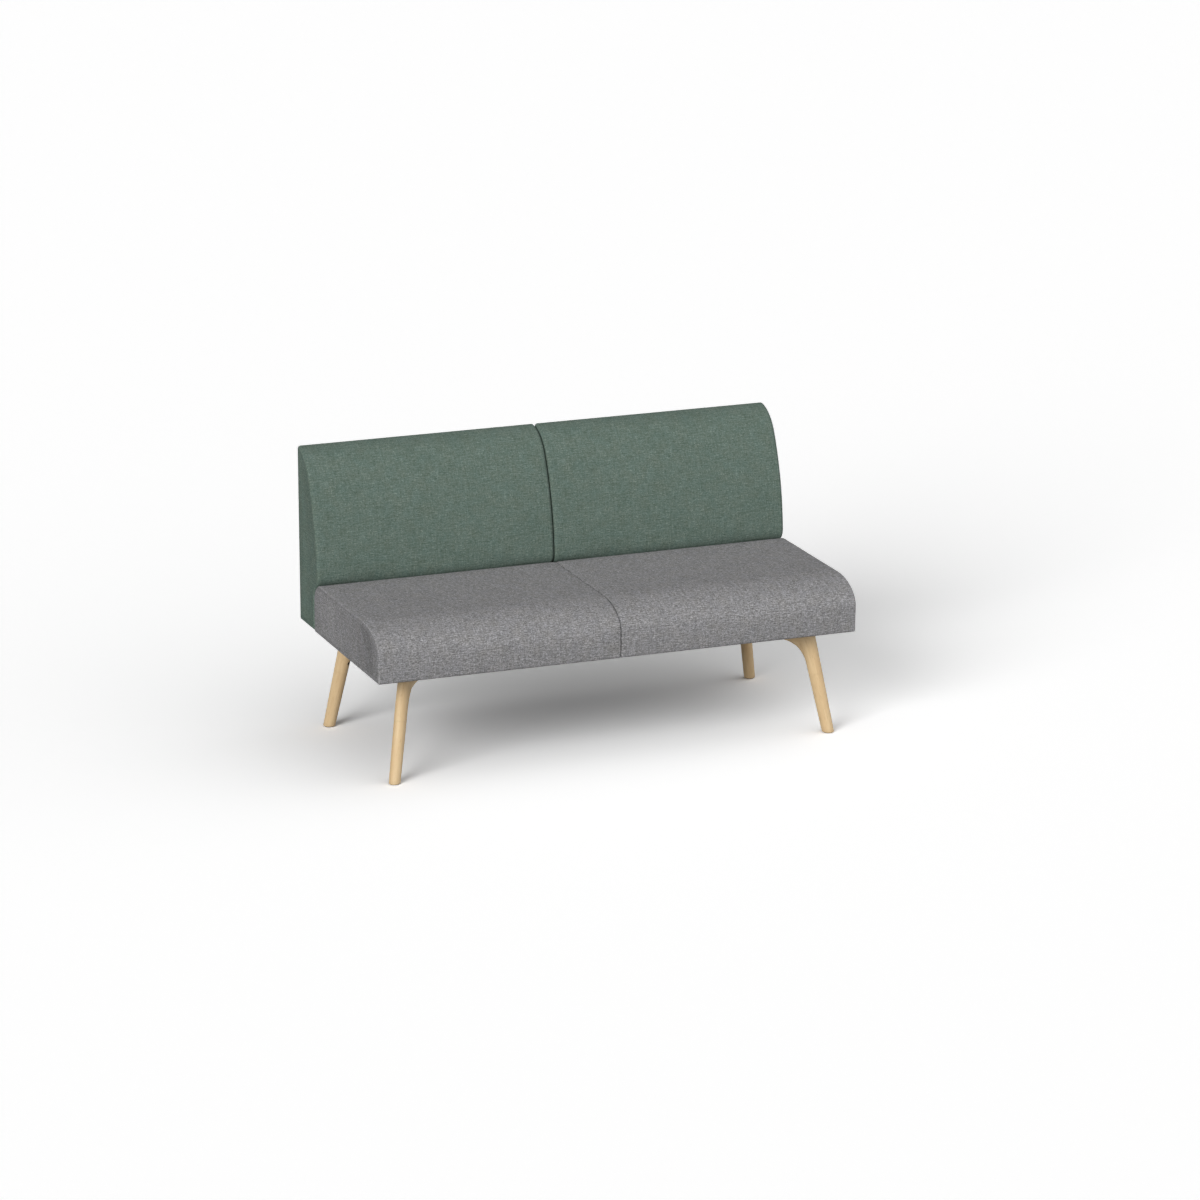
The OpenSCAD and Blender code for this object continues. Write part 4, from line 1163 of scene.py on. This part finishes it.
def nodeTree(name, inputs):
    # a new Geometry Nodes tree with a Geometry input and output and the named sizes
    tree = bpy.data.node_groups.new(name, "GeometryNodeTree")
    tree.interface.new_socket("Geometry", in_out="INPUT", socket_type="NodeSocketGeometry")
    tree.interface.new_socket("Geometry", in_out="OUTPUT", socket_type="NodeSocketGeometry")
    for label, kind in inputs.items():
        tree.interface.new_socket(label, in_out="INPUT", socket_type="NodeSocket" + kind)
    board = Board(tree)
    return board, board.add("NodeGroupInput")


def plainMesh(board, instances, material):
    # the end of a tree: real geometry with its material
    plain = board.add("GeometryNodeRealizeInstances", None, instances)
    done = board.add("GeometryNodeSetMaterial", None, plain, None, material)
    board.add("NodeGroupOutput", None, done)
    return board.owner


def grow(name, tree, values, start=None):
    # runs a tree on an object and keeps the plain mesh
    seedOb = newObject(name + "_seed", start or bpy.data.meshes.new(name + "_seed"))
    run = seedOb.modifiers.new(name, "NODES")
    run.node_group = tree
    for item in tree.interface.items_tree:
        if item.in_out == "INPUT" and item.name in values:
            run[item.identifier] = values[item.name]
    result = bpy.data.meshes.new_from_object(seedOb.evaluated_get(bpy.context.evaluated_depsgraph_get()))
    result.name = name
    seedOb.modifiers.clear()
    bpy.data.objects.remove(seedOb)
    return newObject(name, result)


def strapTree():
    # one bowed strap, set out in a row
    board, given = nodeTree("webbing_row", {
        "Count": "Int", "Pitch": "Float", "Width": "Float", "Length": "Float", "Thickness": "Float",
        "Bow": "Float", "Material": "Material"})
    s = strapLook
    strip = board.add("GeometryNodeMeshGrid", None, given.at("Width"), given.at("Length"),
                      s["across"], s["along"])
    place = board.add("GeometryNodeInputPosition")
    split = board.add("ShaderNodeSeparateXYZ", None, place)
    along = split.at("Y") / given.at("Length") * 2
    across = split.at("X") / given.at("Width") * 2
    bow = (along * along - 1) * given.at("Bow") - across * across * across * across * s["edgeDrop"]
    bowed = board.add("GeometryNodeSetPosition", None, strip, None, None, board.vector(0.0, 0.0, bow))
    thick = board.add("GeometryNodeExtrudeMesh", {"mode": "FACES"}, bowed, None, board.vector(0.0, 0.0, 1.0),
                      given.at("Thickness"), False)
    closed = board.add("GeometryNodeJoinGeometry")
    board.tree.links.new(board.add("GeometryNodeFlipFaces", None, bowed).socket, closed.node.inputs[0])
    board.tree.links.new(thick.socket, closed.node.inputs[0])
    solid = board.add("GeometryNodeMergeByDistance", None, closed, None, s["weld"])
    half = (given.at("Count") - 1) * given.at("Pitch") * 0.5
    row = board.add("GeometryNodeMeshLine", {"mode": "OFFSET"}, given.at("Count"), None,
                    board.vector(half * -1.0), board.vector(given.at("Pitch")))
    straps = board.add("GeometryNodeInstanceOnPoints", None, row, None, solid)
    return plainMesh(board, straps, given.at("Material"))


def stapleTree():
    # a bent wire on every point of the seed, its crown across the edge it holds
    board, given = nodeTree("staple_line", {
        "Crown": "Float", "Leg": "Float", "Wire": "Float", "Seed": "Int", "Material": "Material"})
    half = given.at("Crown") * 0.5
    deep = given.at("Leg")
    corner = board.add("GeometryNodeCurvePrimitiveQuadrilateral", {"mode": "POINTS"}, into={
        7: board.vector(half * -1.0, 0.0, deep), 8: board.vector(half * -1.0, 0.0, 0.0),
        9: board.vector(half, 0.0, 0.0), 10: board.vector(half, 0.0, deep)})
    bent = board.add("GeometryNodeSetSplineCyclic", None, corner, None, False)
    eased = board.add("GeometryNodeFilletCurve", {"mode": "POLY"}, bent, 2, given.at("Wire"))
    ring = board.add("GeometryNodeCurvePrimitiveCircle", {"mode": "RADIUS"}, into={0: 6, 4: given.at("Wire")})
    wire = board.add("GeometryNodeCurveToMesh", None, into={
        "Curve": eased, "Profile Curve": ring, "Fill Caps": True})
    turn = board.add("GeometryNodeInputNamedAttribute", {"data_type": "FLOAT"}, "turn")
    skew = board.add("FunctionNodeRandomValue", {"data_type": "FLOAT"}, out=1, into={
        2: -stapleRows["skew"], 3: stapleRows["skew"], 8: given.at("Seed")})
    staples = board.add("GeometryNodeInstanceOnPoints", None, into={
        "Points": given, "Instance": wire, "Rotation": board.vector(0.0, 0.0, turn + skew)})
    return plainMesh(board, staples, given.at("Material"))


def stapleSpots():
    # where each staple sits and how it is turned; the order settles how each one is skewed
    s, rows = insideSize, stapleRows
    seatZ, backZ = clothSize["low"] - rows["proud"], clothSize["backLow"] - rows["proud"]
    spots = [(x, y, seatZ, 0.0) for y in (s["seatFront"] + rows["inset"], s["seatRear"] - rows["inset"])
             for x in np.linspace(*rows["seatRow"])]
    spots += [(side * (s["seatEnd"] - rows["inset"]), y, seatZ, math.pi / 2) for side in (-1, 1)
              for y in np.linspace(*rows["endRow"])]
    backRows = (clothSize["backFront"] + rows["backFront"], s["boardBack"] - rows["backRear"])
    for side in (-1, 1):
        along = np.linspace(*backEnds(side), rows["backCount"])[1:-1]
        spots += [(x, y, backZ, 0.0) for y in backRows for x in along]
    return spots


def boltSpots():
    # where the bolts of the right arms pass through the seat's cloth, to a tenth of a millimetre
    spots = []
    for y in (legSize["frontY"], legSize["rearY"]):
        for far in legSize["boltAt"]:
            inwards = far * math.sqrt(0.5)
            spots.append((round(legSize["footX"] - inwards, 4), round(y - math.copysign(inwards, y), 4)))
    return spots


def makeUnderside():
    s, cloth = insideSize, clothSize
    sheet = dustSheet("seat_dust_cloth", cloth["low"], s["seatFront"] + cloth["frontSpare"], s["seatRear"],
                      -s["seatEnd"], s["seatEnd"])
    radius, long = cloth["holeRadius"], cloth["holeLong"]
    drill(sheet, [(Matrix.Translation((side * x, y, cloth["holeFrom"])), radius, long)
                  for side in (-1, 1) for x, y in boltSpots()])
    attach(sheet, "root")
    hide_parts("seat_base_cloth")
    for side, label in ((-1, "left"), (1, "right")):
        ends = backEnds(side)
        sheet = dustSheet(label + "_back_dust_cloth", cloth["backLow"], cloth["backFront"],
                          s["boardBack"], *ends)
        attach(sheet, "root")
        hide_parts(label + "_back_base_cloth")
        ends[1] - ends[0]
    spots = stapleSpots()
    seedMesh = bpy.data.meshes.new("staple_spots")
    seedMesh.from_pydata([spot[:3] for spot in spots], [], [])
    turns = [spot[3] for spot in spots]
    seedMesh.attributes.new("turn", "FLOAT", "POINT").data.foreach_set("value", turns)
    staples = grow("dust_cloth_staples", stapleTree(), {**stapleSize, "Material": zinc}, seedMesh)
    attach(staples, "root")
    straps = grow("seat_straps", strapTree(), {
        **strapSize, "Length": s["seatRear"] - s["seatFront"],
        "Thickness": strapLook["top"] - strapLook["low"], "Material": strapCloth})
    straps.data.transform(Matrix.Translation((0, (s["seatRear"] + s["seatFront"]) / 2, strapLook["low"])))
    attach(straps, "root")
    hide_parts("seat_webbing")
    print("underside made")


makeFoams()
makeUnderside()


# carried-over nodes get their finish

finishes = {
    frameWood: ["front_rail", "rear_rail", "left_end_rail", "right_end_rail", "middle_rail", "corner_blocks",
                "left_leg_bearer", "right_leg_bearer", "left_back_board", "right_back_board",
                "left_back_foot_board", "right_back_foot_board", "left_back_spacers", "right_back_spacers",
                "leg_tenons"],
    zinc: ["back_bolts", "back_washers", "back_tee_nuts", "leg_bolts", "leg_washers", "leg_tee_nuts"],
    blackSteel: ["leg_cross_screws"],
    glideStuff: ["foot_glides"]}
for material, names in finishes.items():
    for name in names:
        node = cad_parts[name]
        node.data.materials.clear()
        node.data.materials.append(material)
print("finishes set")


# floor and light

# two soft windows of light: where they stand (degrees left or right of the front, and up),
# the cosines where they begin and are full, and how strong they are
roomLook = dict(
    fill=dict(azimuth=36.3, elevation=34.4, edge=(0.0996, 0.779), strength=0.88),
    key=dict(azimuth=-50.1, elevation=24.4, edge=(0.9385, 0.9845), strength=9.3),
    floorSeen=1.37, floorPlain=0.45, floorHalf=60)


def makeRoom():
    half = roomLook["floorHalf"]
    mesh = bpy.data.meshes.new("floor")
    corners = [(-half, -half, 0), (half, -half, 0), (half, half, 0), (-half, half, 0)]
    mesh.from_pydata(corners, [], [(0, 1, 2, 3)])
    floor = newObject("floor", mesh)
    board = Board(newMaterial("floor_white"))
    bright, plain = roomLook["floorSeen"], roomLook["floorPlain"]
    colour = board.mix(board.seen(), (plain, plain, plain, 1), (bright, bright, bright, 1))
    matt = board.add("ShaderNodeBsdfDiffuse", None, into={"Color": colour})
    board.add("ShaderNodeOutputMaterial", None, matt)
    mesh.materials.append(board.owner)

    world = bpy.data.worlds.new("studio")
    world.use_nodes = True
    scene.world = world
    sky = Board(world)
    way = sky.add("ShaderNodeTexCoord", None, out="Generated")
    light = 0
    for lamp in (roomLook["fill"], roomLook["key"]):
        azimuth, elevation = math.radians(lamp["azimuth"]), math.radians(lamp["elevation"])
        level = math.cos(elevation)
        toLamp = (math.sin(azimuth) * level, -math.cos(azimuth) * level, math.sin(elevation))
        facing = sky.add("ShaderNodeVectorMath", {"operation": "DOT_PRODUCT"}, way, toLamp, out="Value")
        light = facing.above(*lamp["edge"]) * lamp["strength"] + light
    seen = sky.seen()
    surface = sky.add("ShaderNodeBackground", None, (1, 1, 1, 1), light * (1 - seen) + seen)
    sky.add("ShaderNodeOutputWorld", None, surface)


makeRoom()
scene.view_settings.view_transform = "Standard"
